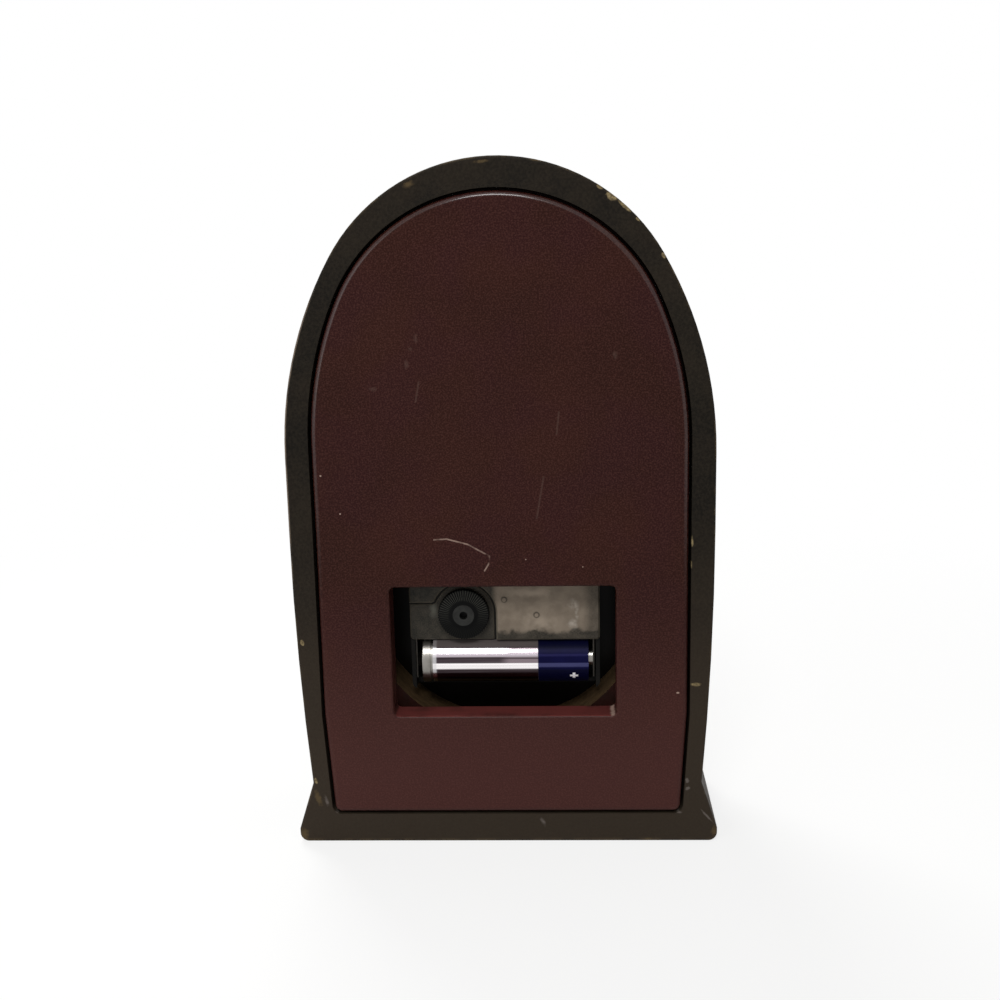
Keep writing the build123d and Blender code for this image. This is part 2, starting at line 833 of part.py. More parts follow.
def make_stator_plate():
    """Stator: a ring round the magnet with two arms up to the coil."""
    x, z = rotor_centre
    left = x - stator_left
    right = x + stator_right
    half = stator_arm / 2
    top = coil_height + coil_core_width / 2
    hole_radius = magnet_diameter / 2 + stator_air_gap
    span = (stator_front_y, stator_rear_y)
    plate = disc(hole_radius + stator_ring_width, *span, rotor_centre)
    plate += block(left, x, z - half, z + half, *span)
    plate += block(left, left + stator_arm, z - half, top, *span)
    plate += block(x, right, z, z + stator_arm, *span)
    plate += block(right - stator_arm, right, z, top, *span)
    return plate - disc(hole_radius, *span, rotor_centre)


def coil_ends():
    """Left and right end of the space between the stator's arms."""
    left = rotor_centre[0] - stator_left + stator_arm + bobbin_gap
    right = rotor_centre[0] + stator_right - stator_arm - bobbin_gap
    return left, right


def coil_tube(diameter, left, right):
    """Round piece along X, on the axis of the coil."""
    plane = Plane(
        origin=(left, stator_front_y - coil_core_thickness / 2, shaft_height + coil_height),
        x_dir=(0, 1, 0), z_dir=(1, 0, 0),
    )
    return extrude(plane * Circle(diameter / 2), right - left)


def core_bar(grow=0.0):
    """Flat iron bar through the coil, lying on the stator's arms."""
    half = coil_core_width / 2 + grow
    return block(
        rotor_centre[0] - stator_left, rotor_centre[0] + stator_right, coil_height - half,
        coil_height + half, stator_front_y - coil_core_thickness - grow, stator_front_y + grow,
    )


def make_coil_core():
    """Iron bar of the coil."""
    return core_bar()


def make_coil_bobbin():
    """Moulded bobbin with two flanges."""
    left, right = coil_ends()
    bobbin = coil_tube(bobbin_diameter, left, right)
    bobbin += coil_tube(bobbin_flange_diameter, left, left + bobbin_flange)
    bobbin += coil_tube(bobbin_flange_diameter, right - bobbin_flange, right)
    return bobbin - core_bar(running_clearance)


def make_coil_winding():
    """Wound copper wire between the flanges, as one sleeve."""
    left, right = coil_ends()
    ends = (left + bobbin_flange, right - bobbin_flange)
    return coil_tube(winding_diameter, *ends) - coil_tube(bobbin_diameter + 2 * seat_clearance, *ends)


def make_circuit_board():
    """Small circuit board behind the middle plate."""
    return block(board_left, board_right, board_bottom, board_top, circuit_front_y, circuit_rear_y)


def make_timing_chip():
    """Moulded chip on the circuit board."""
    x = (board_left + board_right) / 2
    z = (board_bottom + board_top) / 2
    half = chip_size / 2
    return block(x - half, x + half, z, z + chip_size, circuit_rear_y, circuit_rear_y + chip_height)


def make_quartz_crystal():
    """Crystal can lying on the circuit board."""
    plane = Plane(
        origin=(
            (board_left + board_right - crystal_length) / 2,
            circuit_rear_y + crystal_diameter / 2,
            shaft_height + board_bottom + crystal_diameter,
        ),
        x_dir=(0, 1, 0), z_dir=(1, 0, 0),
    )
    return extrude(plane * Circle(crystal_diameter / 2), crystal_length)


# AA cell, positive end towards -X

negative_end = cell_shift + cell_length / 2
positive_end = cell_shift - cell_length / 2
positive_shoulder = positive_end + nub_length


def cell_tube(diameter, left, right):
    """Round piece along X, on the axis of the cell."""
    plane = Plane(
        origin=(left, cell_y, shaft_height - cell_drop), x_dir=(0, 1, 0), z_dir=(1, 0, 0)
    )
    return extrude(plane * Circle(diameter / 2), right - left)


def make_battery_can():
    """Steel can with its nub and the crimped rim of the negative end."""
    can_diameter = cell_diameter - 2 * sleeve_thickness - 2 * sleeve_gap
    can = cell_tube(can_diameter, positive_shoulder, negative_end)
    can += cell_tube(nub_diameter, positive_end, positive_shoulder)
    can += cell_tube(cell_diameter, negative_end - rim_length, negative_end)
    groove = (negative_end - rim_length - rim_groove, negative_end - rim_length)
    can -= cell_tube(can_diameter, *groove) - cell_tube(can_diameter - 2 * rim_groove_depth, *groove)
    ends = can.edges().filter_by(GeomType.CIRCLE).sort_by(Axis.X)
    return fillet(ends[-1], rim_groove_depth)


def make_battery_sleeve():
    """Printed sleeve round the can, open at both ends."""
    right = negative_end - rim_length - rim_groove
    sleeve = cell_tube(cell_diameter, positive_shoulder, right)
    return sleeve - cell_tube(cell_diameter - 2 * sleeve_thickness, positive_shoulder, right)


def make_negative_contact():
    """Bent spring strip behind the negative end, with a tab on the circuit board."""
    outer = half_inside - contact_gap
    inner = outer - contact_thickness
    half_height = contact_height / 2
    strip_y = circuit_rear_y + contact_strip
    contact = block(inner, outer, -cell_drop - half_height, -cell_drop + half_height, cell_y, strip_y)
    tab_top = board_bottom + contact_width
    contact += block(inner, outer, -cell_drop, tab_top, circuit_rear_y, strip_y)
    contact += block(
        board_right - contact_strip, outer, tab_top - contact_strip, tab_top,
        circuit_rear_y, circuit_rear_y + contact_thickness,
    )
    peak = negative_end + contact_gap
    spread = contact_width / 2
    leaf = Polyline(
        (inner, cell_y - spread), (peak, cell_y - contact_thickness), (peak, cell_y + contact_thickness),
        (inner, cell_y + spread), (outer, cell_y + spread), (outer, cell_y - spread),
        close=True,
    )
    pad = Pos(0, 0, shaft_height - cell_drop - contact_width / 2) * make_face(leaf)
    return contact + extrude(pad, contact_width)


def make_positive_contact():
    """Flat strip behind the nub that climbs the wall and crosses to the circuit board."""
    inner = positive_end - contact_gap
    outer = inner - contact_thickness
    half_height = contact_height / 2
    strip_y = circuit_rear_y + contact_strip
    contact = block(
        outer, inner, -cell_drop - half_height, -cell_drop + half_height, cell_y - contact_width / 2, strip_y
    )
    contact += block(outer, inner, -cell_drop, board_top, circuit_rear_y, strip_y)
    return contact + block(
        outer, board_left + contact_strip, board_top - contact_strip, board_top,
        circuit_rear_y, circuit_rear_y + contact_thickness,
    )


pieces = {
    "case_surround": make_case_surround,
    "front_board": make_front_board,
    "core_board": make_core_board,
    "back_panel": make_back_panel,
    "bezel_ring": make_bezel_ring,
    "sight_ring": make_sight_ring,
    "dial_plate": make_dial_plate,
    "dial_glass": make_dial_glass,
    "rubber_washer": make_rubber_washer,
    "brass_washer": make_brass_washer,
    "mounting_nut": make_mounting_nut,
    "hour_hand": make_hour_hand,
    "minute_hand": make_minute_hand,
    "second_hand": make_second_hand,
    "movement_case": make_movement_case,
    "movement_cover": make_movement_cover,
    "middle_plate": make_middle_plate,
    "hour_wheel": make_hour_wheel,
    "minute_pipe": make_minute_pipe,
    "minute_wheel": make_minute_wheel,
    "set_knob": make_set_knob,
    "centre_wheel": make_centre_wheel,
    "third_wheel": make_third_wheel,
    "seconds_wheel": make_seconds_wheel,
    "step_wheel": make_step_wheel,
    "rotor_pinion": make_rotor_pinion,
    "rotor_magnet": make_rotor_magnet,
    "stator_plate": make_stator_plate,
    "coil_core": make_coil_core,
    "coil_bobbin": make_coil_bobbin,
    "coil_winding": make_coil_winding,
    "circuit_board": make_circuit_board,
    "timing_chip": make_timing_chip,
    "quartz_crystal": make_quartz_crystal,
    "negative_contact": make_negative_contact,
    "positive_contact": make_positive_contact,
    "battery_can": make_battery_can,
    "battery_sleeve": make_battery_sleeve,
}

os.makedirs("parts", exist_ok=True)
for node, make in pieces.items():
    export_step(make(), f"parts/{node}.step")
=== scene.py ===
"""Looks of the beehive shelf clock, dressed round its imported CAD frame.

X runs across the clock, Y from the dial (-Y) to the back (+Y) and Z up. Sizes in the
classes are in millimetres, and objects are in metres.
"""

import logging
import math
from dataclasses import dataclass
from enum import Enum
from typing import Any, NamedTuple, Optional, Protocol

import bpy
from mathutils import Euler, Matrix, Vector

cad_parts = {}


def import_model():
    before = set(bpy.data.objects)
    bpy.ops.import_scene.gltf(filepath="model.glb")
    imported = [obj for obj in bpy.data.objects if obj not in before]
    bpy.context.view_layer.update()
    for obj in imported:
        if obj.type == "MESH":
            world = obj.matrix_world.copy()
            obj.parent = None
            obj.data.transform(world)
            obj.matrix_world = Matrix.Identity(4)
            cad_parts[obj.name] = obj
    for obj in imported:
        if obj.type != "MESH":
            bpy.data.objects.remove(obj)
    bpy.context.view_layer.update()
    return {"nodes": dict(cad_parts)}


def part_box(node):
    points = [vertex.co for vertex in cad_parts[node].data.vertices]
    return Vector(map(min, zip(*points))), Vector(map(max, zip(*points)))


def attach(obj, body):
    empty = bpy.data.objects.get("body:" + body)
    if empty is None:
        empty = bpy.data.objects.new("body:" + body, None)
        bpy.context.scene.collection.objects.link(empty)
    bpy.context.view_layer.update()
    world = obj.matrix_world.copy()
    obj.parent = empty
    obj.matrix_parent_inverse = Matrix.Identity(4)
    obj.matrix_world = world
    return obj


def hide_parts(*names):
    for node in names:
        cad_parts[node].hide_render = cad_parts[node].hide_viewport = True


LOG = logging.getLogger("shelf_clock")
MM = 0.001

# Distance in millimetres that is longer than any on the clock
FAR_OFF = 1000.0

Socket = bpy.types.NodeSocket
Material = bpy.types.Material
Piece = bpy.types.Object
Pair = tuple[float, float]
Triple = tuple[float, float, float]
Colour = tuple[float, float, float, float]

# Node types and settings that most finishes use
MATH = "ShaderNodeMath"
VECTOR = "ShaderNodeVectorMath"
RANGE = "ShaderNodeMapRange"
MIX = "ShaderNodeMix"
NOISE = "ShaderNodeTexNoise"
TIMES = {"operation": "MULTIPLY"}
MOST = {"operation": "MAXIMUM"}
TIMES_PLUS = {"operation": "MULTIPLY_ADD"}
EASED = {"interpolation_type": "SMOOTHSTEP"}


def linear(code: str) -> Colour:
    """Turns an sRGB hex colour into linear light.

    Args:
        code: colour as "#rrggbb".

    Returns:
        Linear red, green, blue and an alpha of one.
    """
    channels = [int(code[at : at + 2], 16) / 255 for at in (1, 3, 5)]
    light = [c / 12.92 if c <= 0.04045 else ((c + 0.055) / 1.055) ** 2.4 for c in channels]
    return (light[0], light[1], light[2], 1.0)


WHITE = linear("#ffffff")


def add_node(
    tree: bpy.types.NodeTree,
    kind: str,
    *values: Any,
    out: Any = 0,
    named: Optional[dict[Any, Any]] = None,
    **settings: Any,
) -> Optional[Socket]:
    """Adds one node with its settings and links.

    Args:
        tree: tree that takes the node.
        kind: Blender's name for the node type.
        *values: sockets or constants for the first inputs, in order.
        out: name or number of the output that is wanted.
        named: sockets or constants for other inputs, by name or number.
        **settings: the node's own properties.

    Returns:
        The wanted output socket, or None for a node without outputs.
    """
    node = tree.nodes.new(kind)
    for name, value in settings.items():
        setattr(node, name, value)
    for key, value in [*enumerate(values), *(named or {}).items()]:
        if isinstance(value, Socket):
            tree.links.new(value, node.inputs[key])
        else:
            node.inputs[key].default_value = value
    return node.outputs[out] if len(node.outputs) else None


def empty_tree(owner: Any) -> bpy.types.NodeTree:
    """Gives a material or world an empty node tree.

    Args:
        owner: the material or world.

    Returns:
        Its tree.
    """
    owner.use_nodes = True
    owner.node_tree.nodes.clear()
    return owner.node_tree


def show(piece: Piece) -> None:
    """Puts an object into the scene."""
    bpy.context.scene.collection.objects.link(piece)


class Mark(NamedTuple):
    """A worn spot seen square on from the back: centre, half length, half width, softness of the
    rim, and the slope of its length in degrees."""

    x: float
    z: float
    wide: float
    high: float
    soft: float = 0.35
    slope: float = 0.0


class Slot(Enum):
    """Material slots of the record."""

    BLACK_PAINT = "black_paint"
    OXBLOOD = "oxblood_lacquer"
    FIBREBOARD = "raw_fibreboard"
    BRASS = "polished_brass"
    GLASS = "clear_glass"
    ENAMEL = "dial_enamel"
    HAND = "hand_black"
    RUBBER = "black_rubber"
    MOULDING = "black_moulding"
    SMOKY = "smoky_moulding"
    KNOB = "knob_plastic"
    NYLON = "white_nylon"
    FERRITE = "magnet_ferrite"
    IRON = "motor_iron"
    COPPER = "copper_wire"
    LAMINATE = "circuit_laminate"
    RESIN = "chip_resin"
    STEEL = "bright_steel"
    CELL_CAN = "cell_can"
    CELL_SLEEVE = "cell_sleeve"


class Surface:
    """One material while it is drawn. Places on it are object coordinates in millimetres."""

    def __init__(self, name: str) -> None:
        """Starts an empty material of that name."""
        self.material = bpy.data.materials.new(name)
        self.tree = empty_tree(self.material)
        where = self.add("ShaderNodeTexCoord", out="Object")
        self.place = self.add(VECTOR, where, named={"Scale": 1 / MM}, operation="SCALE")
        axes = self.add("ShaderNodeSeparateXYZ", self.place)
        self.x, self.y, self.z = axes.node.outputs
        facing = self.add("ShaderNodeTexCoord", out="Normal")
        faces = self.add("ShaderNodeSeparateXYZ", facing)
        _, self.face_y, self.face_z = faces.node.outputs

    def add(self, kind: str, *values: Any, **options: Any) -> Optional[Socket]:
        """Adds one node to this material, as add_node does."""
        return add_node(self.tree, kind, *values, **options)

    def layered(self, base: Any, *coats: tuple[Any, Any, float]) -> Any:
        """Lays coats of colour over a ground.

        Args:
            base: colour of the ground.
            *coats: each coat's colour, where it lies from 0 to 1, and its strength.

        Returns:
            The colour that shows.
        """
        tone = linear(base) if isinstance(base, str) else base
        for colour, lies, strength in coats:
            share = self.add(MATH, lies, strength, **TIMES)
            over = linear(colour) if isinstance(colour, str) else colour
            tone = self.add(MIX, share, out=2, named={6: tone, 7: over}, data_type="RGBA")
        return tone

    def between(self, value: Any, rise: Pair, fall: Pair) -> Socket:
        """1 where a value is past a rise and not yet past a fall.

        Args:
            value: what is measured.
            rise: where it starts and where it is full.
            fall: where it is gone and where it is still full.

        Returns:
            The eased share from 0 to 1.
        """
        up = self.add(RANGE, value, *rise, **EASED)
        down = self.add(RANGE, value, *fall, **EASED)
        return self.add(MATH, up, down, **TIMES)

    def cloud(
        self,
        size: float,
        low: float = 0.3,
        high: float = 0.7,
        detail: float = 3.0,
        stretch: Triple = (1.0, 1.0, 1.0),
    ) -> Socket:
        """Irregular patches over the surface.

        Args:
            size: width of a patch in millimetres.
            low: noise level where a patch starts.
            high: noise level where it is full.
            detail: levels of finer noise.
            stretch: how far the patches are drawn out along X, Y and Z.

        Returns:
            Patch strength from 0 to 1.
        """
        squeeze = tuple(1 / share for share in stretch)
        squeezed = self.add(VECTOR, self.place, squeeze, **TIMES)
        noise = self.add(NOISE, squeezed, named={"Scale": 1 / size, "Detail": detail})
        return self.add(RANGE, noise, low, high, **EASED)

    def spots(
        self, marks: tuple[Mark, ...], ragged: float = 0.5, size: float = 1.6, level: float = 0.0
    ) -> Any:
        """Worn spots with ragged rims, seen square on from the back.

        Args:
            marks: the spots.
            ragged: how far noise moves a rim, as a share of the spot.
            size: width of the raggedness in millimetres.
            level: height that the marks are measured from.

        Returns:
            1 inside a spot and 0 outside.
        """
        noise = self.add(NOISE, self.place, named={"Scale": 1 / size})
        shift = self.add(MATH, noise, 2 * ragged, -ragged, **TIMES_PLUS)
        outer = 1.1
        result: Any = 0.0
        for mark in marks:
            middle = (mark.x, 0, level + mark.z)
            offset = self.add(VECTOR, self.place, middle, operation="SUBTRACT")
            sloped = self.add(
                "ShaderNodeVectorRotate",
                offset,
                named={"Angle": math.radians(mark.slope)},
                rotation_type="Y_AXIS",
            )
            share = self.add(VECTOR, sloped, (1 / mark.wide, 0, 1 / mark.high), **TIMES)
            reach = self.add(VECTOR, share, out="Value", operation="LENGTH")
            rim = self.add(MATH, reach, shift)
            inside = self.add(RANGE, rim, outer, outer - mark.soft, **EASED)
            result = self.add(MATH, result, inside, **MOST)
        return result

    def scratch(self, points: tuple[Pair, ...], width: float) -> Socket:
        """A fine line through points on the back.

        Args:
            points: X and Z of the points.
            width: width of the line in millimetres.

        Returns:
            1 on the line and 0 off it.
        """
        flat = self.add(VECTOR, self.place, (1, 0, 1), **TIMES)
        nearest: Any = FAR_OFF
        for (x0, z0), (x1, z1) in zip(points, points[1:]):
            run = Vector((x1 - x0, 0, z1 - z0))
            offset = self.add(VECTOR, flat, (x0, 0, z0), operation="SUBTRACT")
            slope = run / run.length_squared
            along = self.add(VECTOR, offset, slope, out="Value", operation="DOT_PRODUCT")
            held = self.add("ShaderNodeClamp", along)
            foot = self.add(VECTOR, run, named={"Scale": held}, operation="SCALE")
            reach = self.add(VECTOR, offset, foot, out="Value", operation="DISTANCE")
            nearest = self.add(MATH, nearest, reach, operation="MINIMUM")
        return self.add(RANGE, nearest, 0.7 * width, 0.3 * width, **EASED)

    def axle(self, x: float, z: float) -> tuple[Socket, Socket]:
        """Reach and turn about an axis that runs along Y.

        Args:
            x: the axis' place across.
            z: its height.

        Returns:
            Distance from the axis in millimetres, and the turn about it in radians.
        """
        offset = self.add(VECTOR, self.place, (x, 0, z), operation="SUBTRACT")
        flat = self.add(VECTOR, offset, (1, 0, 1), **TIMES)
        reach = self.add(VECTOR, flat, out="Value", operation="LENGTH")
        sides = self.add("ShaderNodeSeparateXYZ", flat).node.outputs
        return reach, self.add(MATH, sides[2], sides[0], operation="ARCTAN2")

    def arris(self) -> Socket:
        """1 on the rounded edges between the back or front face and the sides, 0 elsewhere."""
        lean = self.add(MATH, self.face_y, operation="ABSOLUTE")
        return self.between(lean, (0.12, 0.4), (0.985, 0.85))

    def finish(self, relief: Optional[tuple[Any, float, float]] = None, **inputs: Any) -> Material:
        """Ends the material in one shader.

        Args:
            relief: fine relief as its height from 0 to 1, its depth in millimetres and its strength.
            **inputs: the shader's inputs, with underscores for spaces.

        Returns:
            The finished material.
        """
        named = {name.replace("_", " "): value for name, value in inputs.items()}
        if relief:
            height, depth, strength = relief
            bump = {"Height": height, "Distance": depth * MM, "Strength": strength}
            named["Normal"] = self.add("ShaderNodeBump", named=bump)
        shader = self.add("ShaderNodeBsdfPrincipled", named=named)
        self.add("ShaderNodeOutputMaterial", shader)
        return self.material


class Finish(Protocol):
    """Anything that can make one material."""

    def make(self) -> Material:
        """Makes the material."""


@dataclass(frozen=True)
class WornBlackPaint:
    """Black paint on wood, dulled by dust: a mottled brownish black that is paler low down, rubbed
    along the edges, with a painted highlight along the rounded outer edge on its +X side, chipped to
    bare wood in places and marked by grey and yellowish scuffs."""

    deep: str = "#0f0c08"
    dusty: str = "#1d1812"
    low: str = "#332b23"
    bare: str = "#8c7c5a"
    bare_dark: str = "#564a36"
    grained: str = "#3a3329"
    dust: str = "#3c352a"
    worn: str = "#5d4f3a"
    stripe: str = "#7a6c5f"
    smear: str = "#5a4b33"
    fleck: str = "#6f6762"
    back_from: Pair = (17.5, 20.0)
    chips: tuple[Mark, ...] = (
        Mark(-28.5, 189.6, 1.1, 0.45, 0.5, 33.0),
        Mark(-31.5, 187.2, 1.7, 0.9, 0.4, 37.0),
        Mark(-35.2, 184.5, 2.4, 0.5, 0.4, 42.0),
        Mark(-38.7, 181.0, 0.7, 0.3, 0.5, 47.0),
        Mark(-45.7, 171.3, 1.0, 0.5, 0.5, 60.0),
        Mark(58.5, 62.5, 1.0, 0.55, 0.35, 80.0),
        Mark(56.7, 19.4, 1.1, 0.5, 0.6, 80.0),
        Mark(-54.1, 91.6, 1.6, 0.35, 0.6, 90.0),
        Mark(-53.8, 84.9, 1.2, 0.35, 0.6, 90.0),
        Mark(-55.5, 49.0, 1.7, 0.6, 0.5),
    )
    smears: tuple[Mark, ...] = (
        Mark(56.3, 14.0, 3.0, 1.0, 0.8, 72.0),
        Mark(23.0, 191.2, 1.8, 1.0, 1.0, -26.0),
        Mark(3.2, 197.0, 2.2, 0.5, 0.9, -4.0),
        Mark(-12.0, 197.0, 2.6, 0.5, 0.9, 8.0),
        Mark(-18.3, 195.6, 1.2, 0.4, 0.9, 18.0),
        Mark(61.0, 2.4, 1.6, 2.4, 0.9),
        Mark(-61.6, 3.0, 1.4, 2.2, 0.9),
        Mark(-41.7, 0.6, 1.4, 0.6, 0.8),
    )
    flecks: tuple[Mark, ...] = (
        Mark(-53.2, 19.2, 0.9, 0.6, 0.7, 80.0),
        Mark(-53.3, 16.8, 0.8, 0.6, 0.6, -30.0),
        Mark(-51.1, 9.2, 1.0, 0.45, 0.8),
        Mark(-10.6, 6.4, 1.5, 0.8, 1.0, 60.0),
        Mark(50.6, 9.6, 0.9, 0.5, 0.7, 20.0),
        Mark(53.8, 13.0, 2.0, 0.7, 1.1, 80.0),
        Mark(-59.2, 8.0, 3.2, 0.35, 0.8, 48.0),
    )

    def make(self) -> Material:
        """Makes the paint."""
        s = Surface("worn_black_paint")
        grain = s.cloud(0.75)
        patches = s.cloud(14.0, detail=5.0)
        lower = s.add(RANGE, s.z, 110.0, 20.0, **EASED)
        level = s.add(RANGE, s.face_z, 0.25, 0.9, **EASED)
        dust = s.add(MATH, level, s.cloud(6.0), **TIMES)
        back = s.add(RANGE, s.y, *self.back_from, **EASED)
        arris = s.arris()
        wear_and_light = s.add(MATH, arris, s.cloud(4.5, 0.48, 0.64, 5.0), **TIMES)
        # Painted highlight: a pale stripe along the rounded outer edge on the +X side, where light
        # catches it.
        left = s.add(MATH, back, s.add(RANGE, s.x, 48.0, 56.0, **EASED), **TIMES)
        left = s.add(MATH, left, s.between(s.z, (78.0, 95.0), (178.0, 158.0)), **TIMES)
        highlighted_edge = s.add(MATH, arris, s.add(MATH, left, s.cloud(9.0, 0.3, 0.5), **TIMES), **TIMES)
        edge = s.add(RANGE, s.z, 1.4, 0.4, **EASED)
        stood = s.add(MATH, edge, s.cloud(5.0, 0.4, 0.6, 4.0), **TIMES)
        smeared = s.add(MATH, s.spots(self.smears, 0.7, 1.0), back, **TIMES)
        flecked = s.add(MATH, s.spots(self.flecks, 0.6, 0.9), back, **TIMES)
        chipped = s.add(MATH, s.spots(self.chips, 0.5, 0.9), back, **TIMES)
        wood = s.layered(self.bare_dark, (self.bare, s.cloud(0.6, detail=4.0), 1.0))
        tone = s.layered(
            self.deep,
            (self.dusty, patches, 1.0),
            (self.low, lower, 0.9),
            (self.grained, grain, 0.2),
            (self.dust, dust, 0.6),
            (self.worn, wear_and_light, 0.35),
            (self.stripe, highlighted_edge, 0.75),
            (self.worn, stood, 0.4),
            (self.smear, smeared, 0.65),
            (self.fleck, flecked, 0.6),
            (wood, chipped, 1.0),
        )
        height = s.add(MATH, grain, chipped, operation="SUBTRACT")
        return s.finish(
            Base_Color=tone,
            Roughness=s.add(MATH, patches, 0.14, 0.52, **TIMES_PLUS),
            Specular_IOR_Level=0.08,
            relief=(height, 0.06, 0.4),
        )


@dataclass(frozen=True)
class OxbloodLacquer:
    """Sprayed dark red lacquer on board, satin, and paler low down as a painted light falloff: a fine
    speckle, plum-coloured clouds, a pale scratch and a few scuffs and dust specks on the back,
    polished rounded edges, a brighter red on the window's sill as painted light from above, and
    painted shade, near black, on the front board's back face inside the case."""

    deep: str = "#260e09"
    warm: str = "#2d130d"
    plum: str = "#290e10"
    haze: str = "#432623"
    pale: str = "#9b8377"
    fine: str = "#5c3a33"
    sill_red: str = "#6b3431"
    unlit: str = "#0a0705"
    back_from: Pair = (10.0, 12.0)
    hair_scratch: tuple[Pair, ...] = (
        (19.1, 93.0), (15.5, 93.2), (9.6, 91.6), (3.4, 88.1), (3.7, 85.8), (4.9, 83.8),
    )
    faint_lines: tuple[tuple[Pair, ...], ...] = (
        ((-12.3, 110.8), (-10.2, 99.0)), ((21.9, 138.0), (23.0, 132.4)), ((-16.8, 129.1), (-16.1, 123.0)),
    )
    scuffs: tuple[Mark, ...] = (
        Mark(22.4, 150.0, 0.7, 1.6, 0.9),
        Mark(23.8, 147.2, 0.9, 0.6, 0.9),
        Mark(25.3, 142.6, 0.8, 1.4, 0.9),
        Mark(34.8, 136.2, 1.4, 0.7, 0.9),
        Mark(-32.5, 144.8, 0.9, 1.2, 0.9),
    )
    specks: tuple[Mark, ...] = (
        Mark(50.6, 111.8, 0.3, 0.3, 0.5),
        Mark(45.5, 100.8, 0.25, 0.25, 0.5),
        Mark(-31.4, 40.3, 0.9, 0.7, 0.7),
        Mark(-50.3, 46.8, 0.5, 0.3, 0.6),
        Mark(-6.9, 87.0, 0.25, 0.25, 0.8),
        Mark(-23.1, 84.7, 0.3, 0.25, 0.8),
    )

    def make(self) -> Material:
        """Makes the lacquer."""
        s = Surface("oxblood_lacquer")
        back = s.add(RANGE, s.y, *self.back_from, **EASED)
        clouds = s.cloud(30.0)
        speckle = s.cloud(0.45, 0.4, 0.7, 2.0)
        # Painted light falloff: the lacquer is paler towards the bottom.
        low_falloff = s.add(RANGE, s.z, 85.0, 15.0, **EASED)
        lean = s.add(MATH, s.face_y, operation="ABSOLUTE")
        rounded = s.between(lean, (0.4, 0.7), (0.998, 0.97))
        high = s.add(MATH, s.add(RANGE, s.z, 70.0, 125.0, **EASED), back, **TIMES)
        polished = s.add(MATH, rounded, high, **TIMES)
        # Painted light: upward faces of the window's sill are a brighter red, as if lit from above.
        low = s.add(RANGE, s.z, 60.0, 50.0)
        lit_sill = s.add(MATH, s.add(RANGE, s.face_z, 0.6, 0.9, **EASED), low, **TIMES)
        scratched = s.add(
            MATH, s.scratch(self.hair_scratch, 0.42), s.cloud(3.0, 0.3, 0.6), **TIMES
        )
        marks = s.add(MATH, s.add(MATH, scratched, 0.7, **TIMES), s.spots(self.specks), **MOST)
        marks = s.add(MATH, marks, back, **TIMES)
        scuffed = s.spots(self.scuffs, 0.9, 0.8)
        for line in self.faint_lines:
            scuffed = s.add(MATH, scuffed, s.scratch(line, 0.5), **MOST)
        scuffed = s.add(MATH, scuffed, back, **TIMES)
        # Painted shade: the front board's back face inside the case is near black.
        behind = s.add(RANGE, s.face_y, 0.5, 0.9, **EASED)
        unlit_face = s.add(MATH, behind, s.add(RANGE, s.y, 8.0, 6.0), **TIMES)
        tone = s.layered(
            self.deep,
            (self.warm, clouds, 1.0),
            (self.plum, s.cloud(19.0, 0.4, 0.65, 2.0), 0.6),
            (self.haze, low_falloff, 0.9),
            (self.fine, speckle, 0.3),
            (self.sill_red, s.add(MATH, lit_sill, s.cloud(9.0, 0.2, 0.6), **TIMES), 0.85),
            (self.pale, scuffed, 0.07),
            (self.pale, marks, 1.0),
            (self.unlit, unlit_face, 1.0),
        )
        return s.finish(
            Base_Color=tone,
            Roughness=s.add(MATH, clouds, 0.08, 0.28, **TIMES_PLUS),
            Specular_IOR_Level=0.08,
            Coat_Weight=s.add(MATH, polished, 0.5, **TIMES),
            Coat_Roughness=0.17,
            relief=(speckle, 0.01, 0.2),
        )


@dataclass(frozen=True)
class RawFibreboard:
    """Pressed fibreboard, bare and brown where it is cut, that brown darkened as painted shade for the
    bore's wall, with fine fibres and darker layers; its flat faces are painted dark red."""

    # Painted shade: the cut brown is darker than bare board, for the bore's shaded wall.
    cut: str = "#3b2d1c"
    fibre: str = "#503f2a"
    face: str = "#180a06"

    def make(self) -> Material:
        """Makes the board."""
        s = Surface("raw_fibreboard")
        fibres = s.cloud(0.5, detail=4.0, stretch=(3.0, 1.0, 3.0))
        layers = s.cloud(2.5, detail=2.0, stretch=(8.0, 1.0, 8.0))
        flat = s.add(MATH, s.face_y, operation="ABSOLUTE")
        painted = s.add(RANGE, flat, 0.6, 0.9, **EASED)
        paint = s.layered(self.face, ("#230d09", s.cloud(5.0), 1.0))
        tone = s.layered(
            self.cut, (self.fibre, fibres, 1.0), ("#2b1f13", layers, 0.5), (paint, painted, 1.0)
        )
        return s.finish(
            Base_Color=tone,
            Roughness=s.add(RANGE, painted, 0.0, 1.0, 0.9, 0.5),
            Specular_IOR_Level=0.08,
            relief=(fibres, 0.1, 0.4),
        )


@dataclass(frozen=True)
class BareMetal:
    """Polished, plated or rolled metal: a clear metal tone with faint smudges, fine polishing
    lines and a darker tarnish in places."""

    name: str
    tone: str
    tarnish: str
    roughness: float
    tarnished: float = 0.3
    grain: float = 0.4
    stretch: Triple = (1.0, 1.0, 1.0)

    def make(self) -> Material:
        """Makes the metal."""
        s = Surface(self.name)
        lines = s.cloud(self.grain, detail=2.0, stretch=self.stretch)
        dull = s.cloud(3.0, 0.45, 0.8, 5.0)
        return s.finish(
            Base_Color=s.layered(self.tone, (self.tarnish, dull, self.tarnished)),
            Metallic=1.0,
            Roughness=s.add(MATH, s.cloud(7.0, detail=4.0), 0.1, self.roughness, **TIMES_PLUS),
            relief=(lines, 0.01, 0.15),
        )


